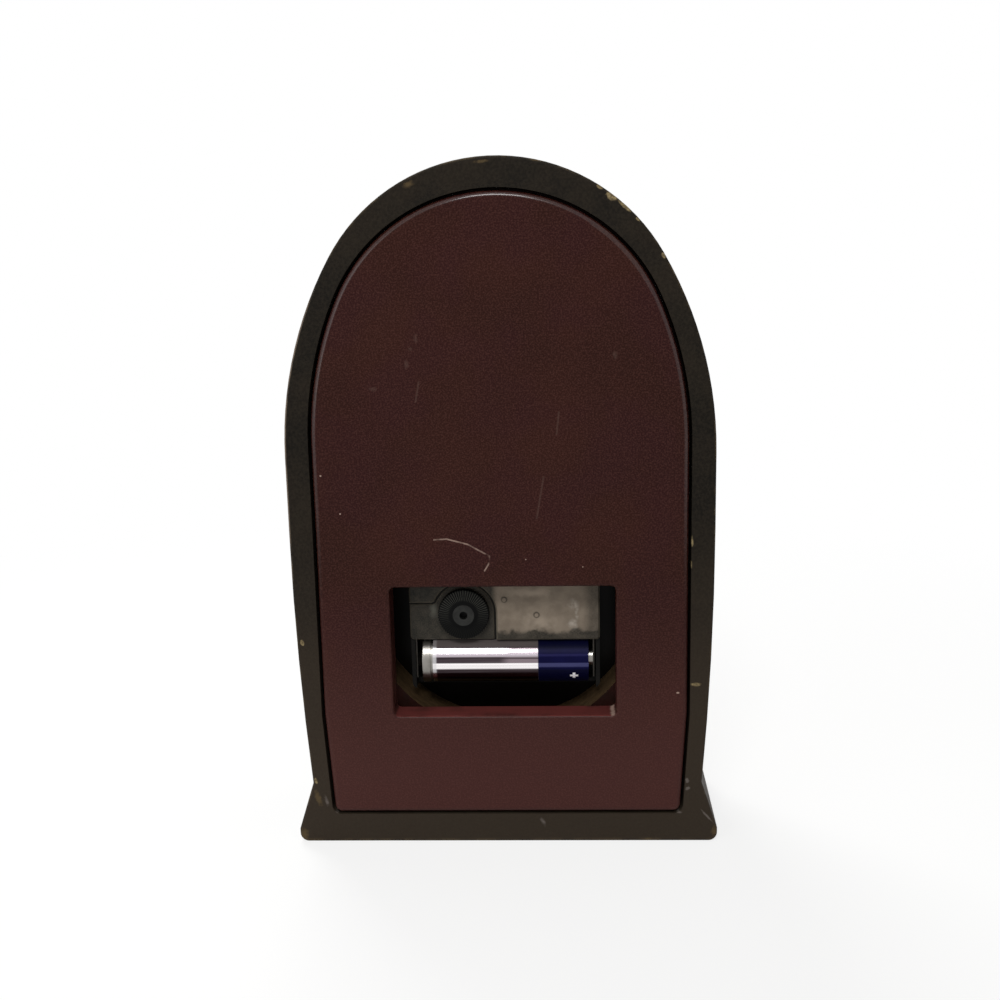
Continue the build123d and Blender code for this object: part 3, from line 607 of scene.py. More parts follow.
@dataclass(frozen=True)
class Moulding:
    """Injection moulded or cast plastic: an even tone with a fine spark texture, a film of dust
    on it and slight changes of gloss."""

    name: str
    tone: str
    dust: str
    roughness: float
    dusty: float = 0.3
    grain: float = 0.35
    shine: float = 0.4

    def make(self) -> Material:
        """Makes the plastic."""
        s = Surface(self.name)
        spark = s.cloud(self.grain, detail=2.0)
        film = s.cloud(4.0, detail=4.0)
        return s.finish(
            Base_Color=s.layered(self.tone, (self.dust, film, self.dusty)),
            Roughness=s.add(MATH, film, 0.15, self.roughness, **TIMES_PLUS),
            Specular_IOR_Level=self.shine,
            relief=(spark, 0.02, 0.3),
        )


@dataclass(frozen=True)
class SmokyMoulding:
    """Smoke-tinted moulded cover with a film of pale dust, with light and shade painted on it: greenish
    grey where it is painted in shade, round the knob, paler and cloudy where the raised land is
    painted as lit, with bright dusty patches, painted glare, a painted shaded border low down and
    towards the right end, near-black painted shade in the groove, on upright faces and round the
    pips, and painted highlights on the bevelled edges. Heights are measured from the hands' axis."""

    shaft_z: float
    shaded: str = "#191916"
    # Paler tone where the land is painted as lit.
    clear: str = "#6d6256"
    dust: str = "#988b7c"
    dirt: str = "#0c0b09"
    spark: str = "#8f8474"
    smear: str = "#66655c"
    gleam: str = "#cbc3b8"
    edge: str = "#5d574c"
    land_y: float = 12.9
    groove_y: float = 12.0
    pips: tuple[Pair, ...] = ((0.0, 0.0), (-9.45, -4.7))
    bright: tuple[Mark, ...] = (
        Mark(-10.0, -7.0, 5.5, 3.2, 1.2), Mark(-8.0, 2.0, 8.0, 1.8, 1.1),
    )
    glare: tuple[Mark, ...] = (
        Mark(-20.3, -1.6, 1.7, 2.0, 1.2),
        Mark(-20.0, -7.4, 1.8, 2.4, 1.2),
        Mark(-21.3, -4.4, 0.8, 2.2, 1.2),
    )
    smudge: tuple[Mark, ...] = (Mark(20.9, -3.4, 1.6, 3.2, 1.2),)

    def make(self) -> Material:
        """Makes the cover's plastic."""
        s = Surface("smoky_moulding")
        film = s.cloud(4.0, detail=5.0)
        spark = s.cloud(0.4, detail=2.0)
        # Painted light and shade: the raised land right of the knob takes the lit tone, less towards the
        # right end and not in a painted shaded border low down; the rest keeps the shaded tone.
        raised = s.add(RANGE, s.y, self.land_y - 0.3, self.land_y + 0.3)
        lit = s.add(MATH, raised, s.add(RANGE, s.x, 4.0, 1.5, **EASED), **TIMES)
        lit = s.add(MATH, lit, s.add(RANGE, s.x, -26.0, -22.5, 0.35, 1.0, **EASED), **TIMES)
        height = s.add(MATH, s.z, self.shaft_z, operation="SUBTRACT")
        ragged = s.add(MATH, s.cloud(5.0), 2.0, height, **TIMES_PLUS)
        shaded_border = s.add(RANGE, ragged, -9.1, -7.6, 0.08, 1.0, **EASED)
        lit = s.add(MATH, lit, shaded_border, **TIMES)
        patch = s.add(MATH, s.spots(self.bright, 0.8, 3.0, self.shaft_z), lit, **TIMES)
        dusted = s.add(MATH, film, s.add(MATH, lit, 0.25, 0.08, **TIMES_PLUS), **TIMES)
        glare = s.add(
            MATH, s.spots(self.glare, 0.8, 2.0, self.shaft_z), s.cloud(1.8, 0.3, 0.65), **TIMES
        )
        # Painted shade, near black: on upright faces, deeper than the groove and in rings round the pips.
        upright = s.add(RANGE, s.face_y, 0.4, 0.1)
        # Painted highlight: a pale tone on the bevelled edges, where light catches them.
        bevel = s.between(s.face_y, (0.45, 0.6), (0.95, 0.8))
        groove = s.add(RANGE, s.y, self.groove_y + 0.15, self.groove_y)
        ringed: Any = 0.0
        for x, z in self.pips:
            ring = s.between(s.axle(x, self.shaft_z + z)[0], (0.45, 0.65), (1.15, 0.8))
            ringed = s.add(MATH, ringed, ring, **MOST)
        tone = s.layered(
            self.shaded,
            (self.clear, lit, 1.0),
            (self.dust, patch, 0.7),
            (self.dust, dusted, 1.0),
            (self.spark, spark, 0.08),
            (self.smear, s.spots(self.smudge, 0.6, 2.0, self.shaft_z), 0.6),
            (self.gleam, glare, 0.45),
            (self.dirt, ringed, 0.5),
            (self.dirt, upright, 0.85),
            (self.edge, bevel, 0.5),
            (self.dirt, groove, 0.95),
        )
        return s.finish(
            Base_Color=tone,
            Roughness=s.add(MATH, film, 0.2, 0.34, **TIMES_PLUS),
            Specular_IOR_Level=0.1,
            relief=(spark, 0.03, 0.3),
        )


@dataclass(frozen=True)
class KnobPlastic:
    """Ridged black moulded plastic: crests painted grey as painted highlights, most of all on the upper
    half, where light falls from above, a hub greyed by handling and a black hole."""

    centre_x: float
    centre_z: float
    hub: float = 3.1
    hole: float = 1.15
    crest_from: float = 4.0
    rim: float = 7.4
    ridges: int = 60
    black: str = "#050505"
    crest: str = "#4d4d47"
    grey: str = "#272726"
    handled: str = "#363634"
    pit: str = "#020202"

    def make(self) -> Material:
        """Makes the knob's plastic."""
        s = Surface("knob_plastic")
        reach, turn = s.axle(self.centre_x, self.centre_z)
        inside = s.add(RANGE, reach, self.hub + 0.15, self.hub - 0.05)
        hole = s.add(RANGE, reach, self.hole + 0.1, self.hole - 0.05)
        film = s.cloud(1.5, detail=4.0)
        wave = s.add(MATH, s.add(MATH, turn, self.ridges, **TIMES), operation="COSINE")
        ring = s.between(reach, (self.crest_from, self.crest_from + 0.8), (self.rim, self.rim - 0.4))
        # Painted highlights: the ridges' crests are painted grey, more on the upper half, as if lit from
        # above.
        crests = s.add(MATH, s.add(RANGE, wave, 0.2, 0.9, **EASED), ring, **TIMES)
        height = s.add(MATH, s.z, self.centre_z, operation="SUBTRACT")
        wear_and_light = s.add(RANGE, height, -3.0, 5.0, 0.1, 1.0)
        crests = s.add(MATH, crests, wear_and_light, **TIMES)
        tone = s.layered(
            self.black,
            (self.crest, crests, 0.7),
            (self.grey, inside, 1.0),
            (self.handled, s.add(MATH, inside, film, **TIMES), 0.5),
            (self.pit, hole, 1.0),
        )
        return s.finish(
            Base_Color=tone,
            Roughness=s.add(MATH, film, 0.2, 0.3, **TIMES_PLUS),
            Specular_IOR_Level=0.06,
            relief=(s.cloud(0.3), 0.02, 0.3),
        )


@dataclass(frozen=True)
class ClearGlass:
    """Cut window glass: clear, faintly green, with a light film of wiped dust."""

    tone: str = "#fbfdfb"

    def make(self) -> Material:
        """Makes the glass."""
        s = Surface("clear_glass")
        wiped = s.cloud(9.0, 0.45, 0.8, 4.0, (3.0, 1.0, 1.0))
        return s.finish(
            Base_Color=linear(self.tone),
            Roughness=s.add(MATH, wiped, 0.05, **TIMES),
            IOR=1.52,
            Transmission_Weight=1.0,
        )


@dataclass(frozen=True)
class DialEnamel:
    """Cream stove enamel on a metal plate: smooth, slightly yellowed towards its rim."""

    shaft_z: float
    fresh: str = "#efe7d3"
    aged: str = "#ddd0b0"
    rim: float = 39.0

    def make(self) -> Material:
        """Makes the enamel."""
        s = Surface("dial_enamel")
        reach = s.axle(0.0, self.shaft_z)[0]
        outer = s.add(RANGE, reach, 0.55 * self.rim, self.rim, **EASED)
        clouds = s.cloud(12.0, detail=5.0)
        return s.finish(
            Base_Color=s.layered(self.fresh, (self.aged, clouds, 0.3), (self.aged, outer, 0.5)),
            Roughness=s.add(MATH, clouds, 0.1, 0.32, **TIMES_PLUS),
            relief=(s.cloud(1.5), 0.01, 0.2),
        )


@dataclass(frozen=True)
class CellSleeve:
    """Printed shrink foil on a dry cell: silver foil, whiter at its negative end, and a navy positive end
    with a plus sign. Bright and dark lengthwise bands round it, on the silver and as two paler bands on
    the navy, are painted reflections and painted shade, and its top under the cover is painted in
    shade. Places round the cell are degrees from straight back, upwards."""

    axis_y: float
    axis_z: float
    skin: float = 7.25
    navy_edge: float = -9.75
    bright_end: float = 20.2
    plus_x: float = -20.3
    plus_turn: float = -31.9
    plus_size: float = 2.4
    plus_stroke: float = 0.8

    def make(self) -> Material:
        """Makes the sleeve's foil."""
        s = Surface("cell_sleeve")
        up = s.add(MATH, s.z, self.axis_z, operation="SUBTRACT")
        out = s.add(MATH, s.y, self.axis_y, operation="SUBTRACT")
        turn = s.add(MATH, up, out, operation="ARCTAN2")
        degrees = s.add(MATH, turn, 180 / math.pi, **TIMES)
        arc = s.add(MATH, turn, self.skin, **TIMES)
        around = s.add("ShaderNodeCombineXYZ", s.add(MATH, s.x, 0.02, **TIMES), arc)
        streak = s.add(NOISE, around, named={"Scale": 1 / 0.6, "Detail": 2.0})
        streaks = s.add(RANGE, streak, 0.35, 0.65, **EASED)
        navy = s.add(RANGE, s.x, self.navy_edge + 0.1, self.navy_edge - 0.1)
        far = s.add(RANGE, s.x, 2.0, -2.0, **EASED)
        ended = s.add(RANGE, s.x, self.bright_end - 0.2, self.bright_end + 0.4, **EASED)
        plus_arc = math.radians(self.plus_turn) * self.skin
        offsets = [
            s.add(MATH, s.add(MATH, value, middle, operation="SUBTRACT"), operation="ABSOLUTE")
            for value, middle in ((s.x, self.plus_x), (arc, plus_arc))
        ]
        arms = []
        for across, along in (offsets, offsets[::-1]):
            half_stroke, half_size = self.plus_stroke / 2, self.plus_size / 2
            thin = s.add(RANGE, across, half_stroke + 0.05, half_stroke - 0.05)
            long = s.add(RANGE, along, half_size + 0.05, half_size - 0.05)
            arms.append(s.add(MATH, thin, long, **TIMES))
        plus = s.add(MATH, s.add(MATH, *arms, **MOST), navy, **TIMES)
        # Painted reflections and painted shade: lengthwise bands by angle stand for the lamps, floor and
        # frame seen in the foil, and the top under the cover is painted in shade.
        upper_reflection = s.layered("#ffffff", ("#6a6266", far, 1.0))
        middle_reflection = s.layered("#40363b", ("#83757b", far, 1.0))
        shaded = s.add(RANGE, degrees, 40.0, 46.0, **EASED)
        silver = s.layered(
            "#3f3639",
            (upper_reflection, s.between(degrees, (25.0, 27.5), (40.5, 37.0)), 1.0),
            ("#b5abb3", s.between(degrees, (17.0, 20.0), (27.5, 25.0)), 1.0),
            (middle_reflection, s.between(degrees, (3.0, 5.0), (19.0, 16.0)), 1.0),
            ("#2a2126", s.between(degrees, (13.0, 14.0), (16.8, 15.6)), 0.8),
            ("#fdf8f9", s.between(degrees, (-12.5, -8.0), (5.0, 2.5)), 1.0),
            ("#2c2024", s.add(RANGE, degrees, -11.5, -15.0, **EASED), 0.9),
            ("#6b6358", s.between(degrees, (-54.0, -48.0), (-37.0, -42.0)), 0.9),
            ("#8f888b", streaks, 0.12),
            ("#d8d6d8", ended, 0.65),
            ("#57504e", shaded, 0.8),
        )
        # Painted reflections and shade on the navy: two paler bands, darker low down and at the top.
        blue = s.layered(
            "#0a0a2f",
            ("#0d0d37", s.cloud(6.0), 1.0),
            ("#23224d", s.between(degrees, (17.5, 21.0), (26.0, 23.0)), 0.8),
            ("#45466f", s.between(degrees, (-8.5, -4.0), (5.0, 2.0)), 0.85),
            ("#04051a", s.add(RANGE, degrees, -8.0, -16.0, **EASED), 0.8),
            ("#04051a", s.add(RANGE, degrees, 32.0, 42.0, **EASED), 0.8),
        )
        return s.finish(
            Base_Color=s.layered(silver, (blue, navy, 1.0), ("#f0eef2", plus, 1.0)),
            Metallic=s.add(MATH, 1.0, s.add(MATH, navy, shaded, **MOST), operation="SUBTRACT"),
            Roughness=s.add(MATH, navy, 0.2, 0.2, **TIMES_PLUS),
            Specular_IOR_Level=0.04,
            relief=(s.cloud(1.2), 0.01, 0.15),
        )


def middle_of(node: str) -> Vector:
    """Finds the middle of a CAD node's box.

    Args:
        node: the node's name.

    Returns:
        The middle in millimetres.
    """
    low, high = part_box(node)
    return (low + high) / (2 * MM)


def finishes() -> dict[Slot, Finish]:
    """Sets the finishes out on the places of the loaded frame.

    Returns:
        Each slot's finish.
    """
    shaft = middle_of("dial_plate")
    knob = middle_of("set_knob")
    cell = middle_of("battery_sleeve")
    return {
        Slot.BLACK_PAINT: WornBlackPaint(),
        Slot.OXBLOOD: OxbloodLacquer(),
        Slot.FIBREBOARD: RawFibreboard(),
        Slot.BRASS: BareMetal("polished_brass", "#b8934f", "#7c6236", 0.16, 0.35),
        Slot.GLASS: ClearGlass(),
        Slot.ENAMEL: DialEnamel(shaft.z),
        Slot.HAND: Moulding("black_hand_lacquer", "#0b0b0b", "#232321", 0.25, 0.2, 0.6, 0.3),
        Slot.RUBBER: Moulding("black_rubber", "#121212", "#302e2a", 0.75, 0.4, 0.6, 0.2),
        Slot.MOULDING: Moulding("black_moulding", "#0b0a09", "#211f1b", 0.45, 0.4, 0.4, 0.1),
        Slot.SMOKY: SmokyMoulding(shaft.z),
        Slot.KNOB: KnobPlastic(knob.x, knob.z),
        Slot.NYLON: Moulding("white_nylon", "#d9d5c8", "#b3ac98", 0.4, 0.4, 0.3),
        Slot.FERRITE: BareMetal("magnet_ferrite", "#3b3a39", "#1f1e1d", 0.5, 0.6, 0.3),
        Slot.IRON: BareMetal("motor_iron", "#77777a", "#4b4540", 0.32, 0.5, 0.3, (12.0, 1.0, 1.0)),
        Slot.COPPER: BareMetal("enamelled_copper_wire", "#b0562c", "#6a2f18", 0.22, 0.5, 0.25),
        Slot.LAMINATE: Moulding("circuit_laminate", "#1f5a34", "#3f7a4c", 0.35, 0.5, 0.6),
        Slot.RESIN: Moulding("chip_resin", "#0e0e0f", "#232326", 0.3, 0.4, 0.5),
        # Painted shade: the steel's tone is darkened to stand for the shade that the contacts sit in.
        Slot.STEEL: BareMetal("bright_steel", "#3d3a36", "#24211e", 0.4, 0.5, 0.3, (10.0, 1.0, 1.0)),
        Slot.CELL_CAN: BareMetal("nickel_plated_can", "#8b8883", "#5f5a52", 0.26, 0.4, 0.3),
        Slot.CELL_SLEEVE: CellSleeve(cell.y, cell.z),
    }


@dataclass
class FinishBook:
    """The finishes, each made once."""

    made: dict[Slot, Material]

    @classmethod
    def open(cls) -> "FinishBook":
        """Makes every finish of the record."""
        return cls({slot: finish.make() for slot, finish in finishes().items()})

    def dress(self, node: Piece, slot: Slot) -> None:
        """Gives one CAD node its finish.

        Args:
            node: the CAD node's object.
            slot: its material slot.
        """
        node.data.materials.clear()
        node.data.materials.append(self.made[slot])
        LOG.info("%s: %s", node.name, slot.value)


@dataclass
class NodeSet:
    """A sub-assembly whose CAD nodes keep their shapes and get their finishes."""

    title: str
    slots: dict[Slot, tuple[str, ...]]

    def dress(self, nodes: dict[str, Piece], book: FinishBook) -> None:
        """Dresses its nodes.

        Args:
            nodes: CAD nodes by name.
            book: the finishes.
        """
        for slot, names in self.slots.items():
            for name in names:
                book.dress(nodes[name], slot)
        LOG.info("%s dressed", self.title)


def plain_mesh(name: str, source: Piece, place: Matrix, material: Material) -> Piece:
    """Turns a text, curve or node-made object into a plain mesh at the origin.

    Args:
        name: name of the new piece.
        source: the object, which is removed.
        place: where the piece belongs.
        material: its finish.

    Returns:
        The new piece.
    """
    graph = bpy.context.evaluated_depsgraph_get()
    graph.update()
    mesh = bpy.data.meshes.new_from_object(source.evaluated_get(graph), depsgraph=graph)
    bpy.data.objects.remove(source)
    mesh.transform(place)
    mesh.materials.clear()
    mesh.materials.append(material)
    mesh.name = name
    piece = bpy.data.objects.new(name, mesh)
    show(piece)
    return piece


@dataclass
class NodeTree:
    """A Geometry Nodes tree while it is drawn."""

    tree: bpy.types.NodeTree
    inputs: dict[str, Socket]

    @classmethod
    def start(cls, name: str, sizes: dict[str, Any]) -> "NodeTree":
        """Starts a tree with named inputs.

        Args:
            name: the tree's name.
            sizes: input names, with a value of each one's type.

        Returns:
            The tree, ready for its nodes.
        """
        tree = bpy.data.node_groups.new(name, "GeometryNodeTree")
        tree.interface.new_socket("Geometry", in_out="OUTPUT", socket_type="NodeSocketGeometry")
        for label, value in sizes.items():
            kind = "NodeSocketInt" if isinstance(value, int) else "NodeSocketFloat"
            if isinstance(value, Material):
                kind = "NodeSocketMaterial"
            tree.interface.new_socket(label, in_out="INPUT", socket_type=kind)
        entry = tree.nodes.new("NodeGroupInput")
        return cls(tree, {label: entry.outputs[label] for label in sizes})

    def add(self, kind: str, *values: Any, **options: Any) -> Optional[Socket]:
        """Adds one node to this tree, as add_node does."""
        return add_node(self.tree, kind, *values, **options)

    def grow(self, shape: Socket, sizes: dict[str, Any]) -> Piece:
        """Ends the tree and puts it on an empty object.

        Args:
            shape: the geometry that the tree gives.
            sizes: a value for each named input.

        Returns:
            The object that carries the tree.
        """
        solid = self.add("GeometryNodeRealizeInstances", shape)
        painted = self.add(
            "GeometryNodeSetMaterial", solid, named={"Material": self.inputs["Finish"]}
        )
        self.add("NodeGroupOutput", painted)
        carrier = bpy.data.objects.new(self.tree.name, bpy.data.meshes.new(self.tree.name))
        modifier = carrier.modifiers.new("shape", "NODES")
        modifier.node_group = self.tree
        for item in self.tree.interface.items_tree:
            if item.in_out == "INPUT":
                modifier[item.identifier] = sizes[item.name]
        show(carrier)
        return carrier


@dataclass
class DialPrint:
    """Black print on the dial: hour numbers, a minute track and its two ring lines."""

    number_radius: float = 28.4
    number_height: float = 7.6
    type_share: float = 1.38
    track_radius: float = 34.4
    tick_length: float = 1.7
    tick_width: float = 0.3
    hour_tick_width: float = 0.8
    ring_width: float = 0.25
    ring_steps: int = 180
    ink: float = 0.04
    turned: Matrix = Matrix.Rotation(math.radians(90), 4, "X")

    def numbers(self, place: Matrix, material: Material) -> Piece:
        """Builds the twelve hour numbers.

        Args:
            place: the dial's plane.
            material: the ink.

        Returns:
            One mesh of all the numbers.
        """
        figures = []
        for hour in range(1, 13):
            text = bpy.data.curves.new("figure", "FONT")
            text.body = str(hour)
            text.align_x, text.align_y = "CENTER", "CENTER"
            text.size = self.number_height * MM * self.type_share
            text.extrude = self.ink * MM
            text.resolution_u = 6
            figure = bpy.data.objects.new("figure", text)
            show(figure)
            angle = math.radians(90 - 30 * hour)
            spot = Vector((math.cos(angle), math.sin(angle), 0)) * self.number_radius * MM
            figures.append(
                plain_mesh(f"figure_{hour}", figure, place @ Matrix.Translation(spot), material)
            )
        whole = figures[0]
        with bpy.context.temp_override(
            active_object=whole, object=whole, selected_editable_objects=figures, selected_objects=figures
        ):
            bpy.ops.object.join()
        whole.name = whole.data.name = "dial_numbers"
        return whole

    def track(self, place: Matrix, material: Material) -> Piece:
        """Builds the minute track with Geometry Nodes.

        Args:
            place: the dial's plane.
            material: the ink.

        Returns:
            One mesh of the ticks and the ring lines.
        """
        sizes: dict[str, Any] = {
            "Minutes": 60,
            "Hours": 12,
            "Radius": self.track_radius * MM,
            "Tick Length": self.tick_length * MM,
            "Tick Width": self.tick_width * MM,
            "Hour Width": self.hour_tick_width * MM,
            "Ring Width": self.ring_width * MM,
            "Ink": 2 * self.ink * MM,
            "Finish": material,
        }
        draw = NodeTree.start("minute_track", sizes)
        given = draw.inputs
        parts = []
        for count, width in (("Minutes", "Tick Width"), ("Hours", "Hour Width")):
            ring = draw.add("GeometryNodeMeshCircle", given[count], given["Radius"])
            size = draw.add(
                "ShaderNodeCombineXYZ", given["Tick Length"], given[width], given["Ink"]
            )
            tick = draw.add("GeometryNodeMeshCube", size)
            spoke = draw.add(
                "FunctionNodeAlignRotationToVector",
                named={"Vector": draw.add("GeometryNodeInputPosition")},
                axis="X",
            )
            parts.append(
                draw.add(
                    "GeometryNodeInstanceOnPoints",
                    ring,
                    named={"Instance": tick, "Rotation": spoke},
                )
            )
        half = draw.add(MATH, given["Tick Length"], 0.5, **TIMES)
        for side in ("ADD", "SUBTRACT"):
            reach = draw.add(MATH, given["Radius"], half, operation=side)
            line = draw.add(
                "GeometryNodeCurvePrimitiveCircle",
                named={"Resolution": self.ring_steps, "Radius": reach},
            )
            profile = draw.add(
                "GeometryNodeCurvePrimitiveQuadrilateral", given["Ring Width"], given["Ink"]
            )
            parts.append(draw.add("GeometryNodeCurveToMesh", line, profile))
        joined = draw.add("GeometryNodeJoinGeometry")
        for part in parts:
            draw.tree.links.new(part, joined.node.inputs[0])
        return plain_mesh("dial_minute_track", draw.grow(joined, sizes), place, material)

    def build(self, book: FinishBook) -> None:
        """Builds the print and rides it on the case.

        Args:
            book: the finishes.
        """
        low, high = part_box("dial_plate")
        place = Matrix.Translation(((low.x + high.x) / 2, low.y, (low.z + high.z) / 2)) @ self.turned
        ink = book.made[Slot.HAND]
        for piece in (self.numbers(place, ink), self.track(place, ink)):
            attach(piece, "case")
            LOG.info("%s: %d faces", piece.name, len(piece.data.polygons))


@dataclass
class CoilTurns:
    """The motor coil's wire, wound round the bobbin between its flanges."""

    wire: float = 0.24
    steps: int = 20
    sides: int = 6

    def build(self, book: FinishBook) -> None:
        """Winds the wire with Geometry Nodes in the place of its plain sleeve.

        Args:
            book: the finishes.
        """
        low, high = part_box("coil_winding")
        length = high.x - low.x
        wire = self.wire * MM
        sizes: dict[str, Any] = {
            "Turns": (length - wire) / wire,
            "Steps": self.steps,
            "Radius": (high.y - low.y) / 2 - wire / 2,
            "Length": length - wire,
            "Wire Radius": wire / 2,
            "Sides": self.sides,
            "Finish": book.made[Slot.COPPER],
        }
        draw = NodeTree.start("coil_turns", sizes)
        given = draw.inputs
        helix = draw.add(
            "GeometryNodeCurveSpiral",
            named={
                "Resolution": given["Steps"],
                "Rotations": given["Turns"],
                "Start Radius": given["Radius"],
                "End Radius": given["Radius"],
                "Height": given["Length"],
            },
        )
        section = draw.add(
            "GeometryNodeCurvePrimitiveCircle",
            named={"Resolution": given["Sides"], "Radius": given["Wire Radius"]},
        )
        wound = draw.add("GeometryNodeCurveToMesh", helix, section, named={"Fill Caps": True})
        middle = (low + high) / 2
        place = (
            Matrix.Translation((low.x + wire / 2, middle.y, middle.z))
            @ Matrix.Rotation(math.radians(90), 4, "Y")
        )
        piece = plain_mesh("coil_turns", draw.grow(wound, sizes), place, book.made[Slot.COPPER])
        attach(piece, "case")
        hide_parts("coil_winding")
        LOG.info("coil_turns: %d faces", len(piece.data.polygons))


SUB_ASSEMBLIES: tuple[NodeSet, ...] = (
    NodeSet(
        "case",
        {
            Slot.BLACK_PAINT: ("case_surround",),
            Slot.OXBLOOD: ("front_board", "back_panel"),
            Slot.FIBREBOARD: ("core_board",),
        },
    ),
    NodeSet(
        "dial and glass",
        {
            Slot.BRASS: ("bezel_ring", "sight_ring", "brass_washer", "mounting_nut"),
            Slot.ENAMEL: ("dial_plate",),
            Slot.GLASS: ("dial_glass",),
            Slot.RUBBER: ("rubber_washer",),
        },
    ),
    NodeSet("hands", {Slot.HAND: ("hour_hand", "minute_hand"), Slot.BRASS: ("second_hand",)}),
    NodeSet(
        "movement case",
        {
            Slot.MOULDING: ("movement_case", "middle_plate"),
            Slot.SMOKY: ("movement_cover",),
            Slot.KNOB: ("set_knob",),
        },
    ),
    NodeSet(
        "wheels",
        {
            Slot.NYLON: (
                "hour_wheel", "minute_pipe", "minute_wheel", "centre_wheel", "third_wheel",
                "seconds_wheel", "step_wheel", "rotor_pinion",
            ),
        },
    ),
    NodeSet(
        "motor and circuit",
        {
            Slot.FERRITE: ("rotor_magnet",),
            Slot.IRON: ("stator_plate", "coil_core"),
            Slot.NYLON: ("coil_bobbin",),
            Slot.COPPER: ("coil_winding",),
            Slot.LAMINATE: ("circuit_board",),
            Slot.RESIN: ("timing_chip",),
            Slot.STEEL: ("quartz_crystal", "negative_contact", "positive_contact"),
        },
    ),
    NodeSet("cell", {Slot.CELL_CAN: ("battery_can",), Slot.CELL_SLEEVE: ("battery_sleeve",)}),
)


@dataclass
class Lamp:
    """One soft square lamp that shines at the middle of the clock."""

    name: str
    place: Triple
    size: float
    power: float
    aim: Triple = (0.0, 0.0, 0.1)

    def build(self) -> None:
        """Hangs the lamp."""
        light = bpy.data.lights.new(self.name, "AREA")
        light.shape, light.size, light.energy = "SQUARE", self.size, self.power
        lamp = bpy.data.objects.new(self.name, light)
        lamp.location = self.place
        lamp.rotation_euler = (Vector(self.aim) - lamp.location).to_track_quat("-Z", "Y").to_euler()
        show(lamp)


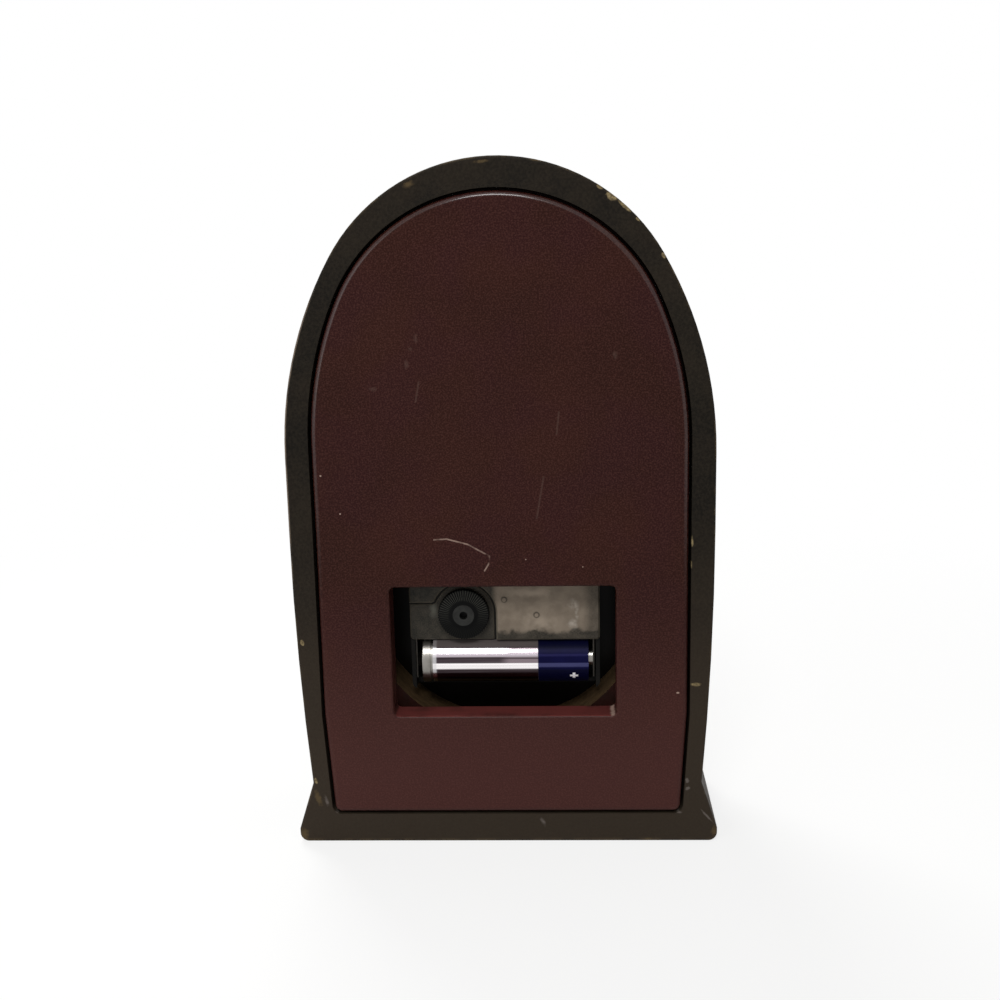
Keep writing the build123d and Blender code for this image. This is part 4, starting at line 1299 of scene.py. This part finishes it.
@dataclass
class Studio:
    """White room: soft lamps, a pale floor that keeps the clock's shadow, and a white background."""

    floor_radius: float = 6.0
    floor_sides: int = 48
    sky: float = 0.33
    floor_glow: float = 0.76
    floor_share: float = 0.29
    shadow_near: float = 0.12
    shadow_far: float = 0.45
    lamps: tuple[Lamp, ...] = (
        Lamp("key_over_back", (0.05, 0.75, 0.85), 0.3, 5.2),
        Lamp("fill_back_left", (0.75, 0.85, 0.35), 0.7, 2.2),
        Lamp("key_over_front", (0.25, -0.55, 0.85), 0.4, 5.2),
        Lamp("fill_front_right", (0.8, -0.8, 0.3), 0.7, 2.2),
    )

    def seen_rays(self, tree: bpy.types.NodeTree) -> Socket:
        """Tells the rays that show a thing from those that only light.

        Args:
            tree: tree that takes the nodes.

        Returns:
            1 for rays from the camera and from mirrors and glass, 0 for the rest.
        """
        path = add_node(tree, "ShaderNodeLightPath").node.outputs
        mirrored = add_node(tree, MATH, path["Is Glossy Ray"], path["Is Transmission Ray"], **MOST)
        return add_node(tree, MATH, path["Is Camera Ray"], mirrored, **MOST)

    def build_sky(self) -> None:
        """Makes the world: white where it is seen, a soft grey where it only lights."""
        world = bpy.data.worlds.new("white_room")
        bpy.context.scene.world = world
        tree = empty_tree(world)
        light, white = (
            add_node(tree, "ShaderNodeBackground", WHITE, power) for power in (self.sky, 1.0)
        )
        mixed = add_node(tree, "ShaderNodeMixShader", self.seen_rays(tree), light, white)
        add_node(tree, "ShaderNodeOutputWorld", mixed)

    def build_floor(self) -> None:
        """Lays the floor, white where it is seen but for the clock's soft shadow."""
        material = bpy.data.materials.new("pale_floor")
        tree = empty_tree(material)
        matt = add_node(tree, "ShaderNodeBsdfDiffuse", linear("#e6e6e4"))
        glow, white, dark = (
            add_node(tree, "ShaderNodeEmission", WHITE, power)
            for power in (self.floor_glow, 1.0, 0.0)
        )
        thin = add_node(tree, "ShaderNodeMixShader", self.floor_share, dark, matt)
        near = add_node(tree, "ShaderNodeAddShader", glow, thin)
        where = add_node(tree, "ShaderNodeTexCoord", out="Object")
        reach = add_node(tree, VECTOR, where, out="Value", operation="LENGTH")
        far = add_node(tree, RANGE, reach, self.shadow_near, self.shadow_far, **EASED)
        lit = add_node(tree, "ShaderNodeMixShader", far, near, white)
        mixed = add_node(tree, "ShaderNodeMixShader", self.seen_rays(tree), matt, lit)
        add_node(tree, "ShaderNodeOutputMaterial", mixed)
        mesh = bpy.data.meshes.new("floor")
        corners = [
            (self.floor_radius * math.cos(turn), self.floor_radius * math.sin(turn), 0.0)
            for turn in (math.tau * step / self.floor_sides for step in range(self.floor_sides))
        ]
        mesh.from_pydata(corners, [], [tuple(range(self.floor_sides))])
        mesh.materials.append(material)
        floor = bpy.data.objects.new("floor", mesh)
        show(floor)

    def build(self) -> None:
        """Builds the room and its lamps."""
        self.build_sky()
        self.build_floor()
        for lamp in self.lamps:
            lamp.build()
        bpy.context.scene.view_settings.view_transform = "Standard"
        LOG.info("studio lit by %d lamps", len(self.lamps))


@dataclass
class PhotoCamera:
    """Camera behind the clock, a little above its middle, with its picture set off to one side."""

    place: Triple = (-0.02, 0.37997, 0.17949)
    turn: Triple = (78.143, 0.972, -178.225)
    lens: float = 46.8
    sensor: float = 36.0
    shift: float = -0.0273
    nearest: float = 0.01

    def build(self) -> None:
        """Sets up the camera."""
        data = bpy.data.cameras.new("photo_camera")
        data.lens, data.sensor_width, data.clip_start = self.lens, self.sensor, self.nearest
        data.shift_x = self.shift
        camera = bpy.data.objects.new("photo_camera", data)
        camera.location = self.place
        camera.rotation_euler = Euler([math.radians(angle) for angle in self.turn], "XYZ")
        show(camera)
        bpy.context.scene.camera = camera


def main() -> None:
    """Loads the frame, dresses the clock and sets up the studio."""
    logging.basicConfig(level=logging.INFO, format="%(name)s %(message)s")
    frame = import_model()
    PhotoCamera().build()
    book = FinishBook.open()
    for assembly in SUB_ASSEMBLIES:
        assembly.dress(frame["nodes"], book)
    DialPrint().build(book)
    CoilTurns().build(book)
    Studio().build()


if __name__ == "__main__":
    main()
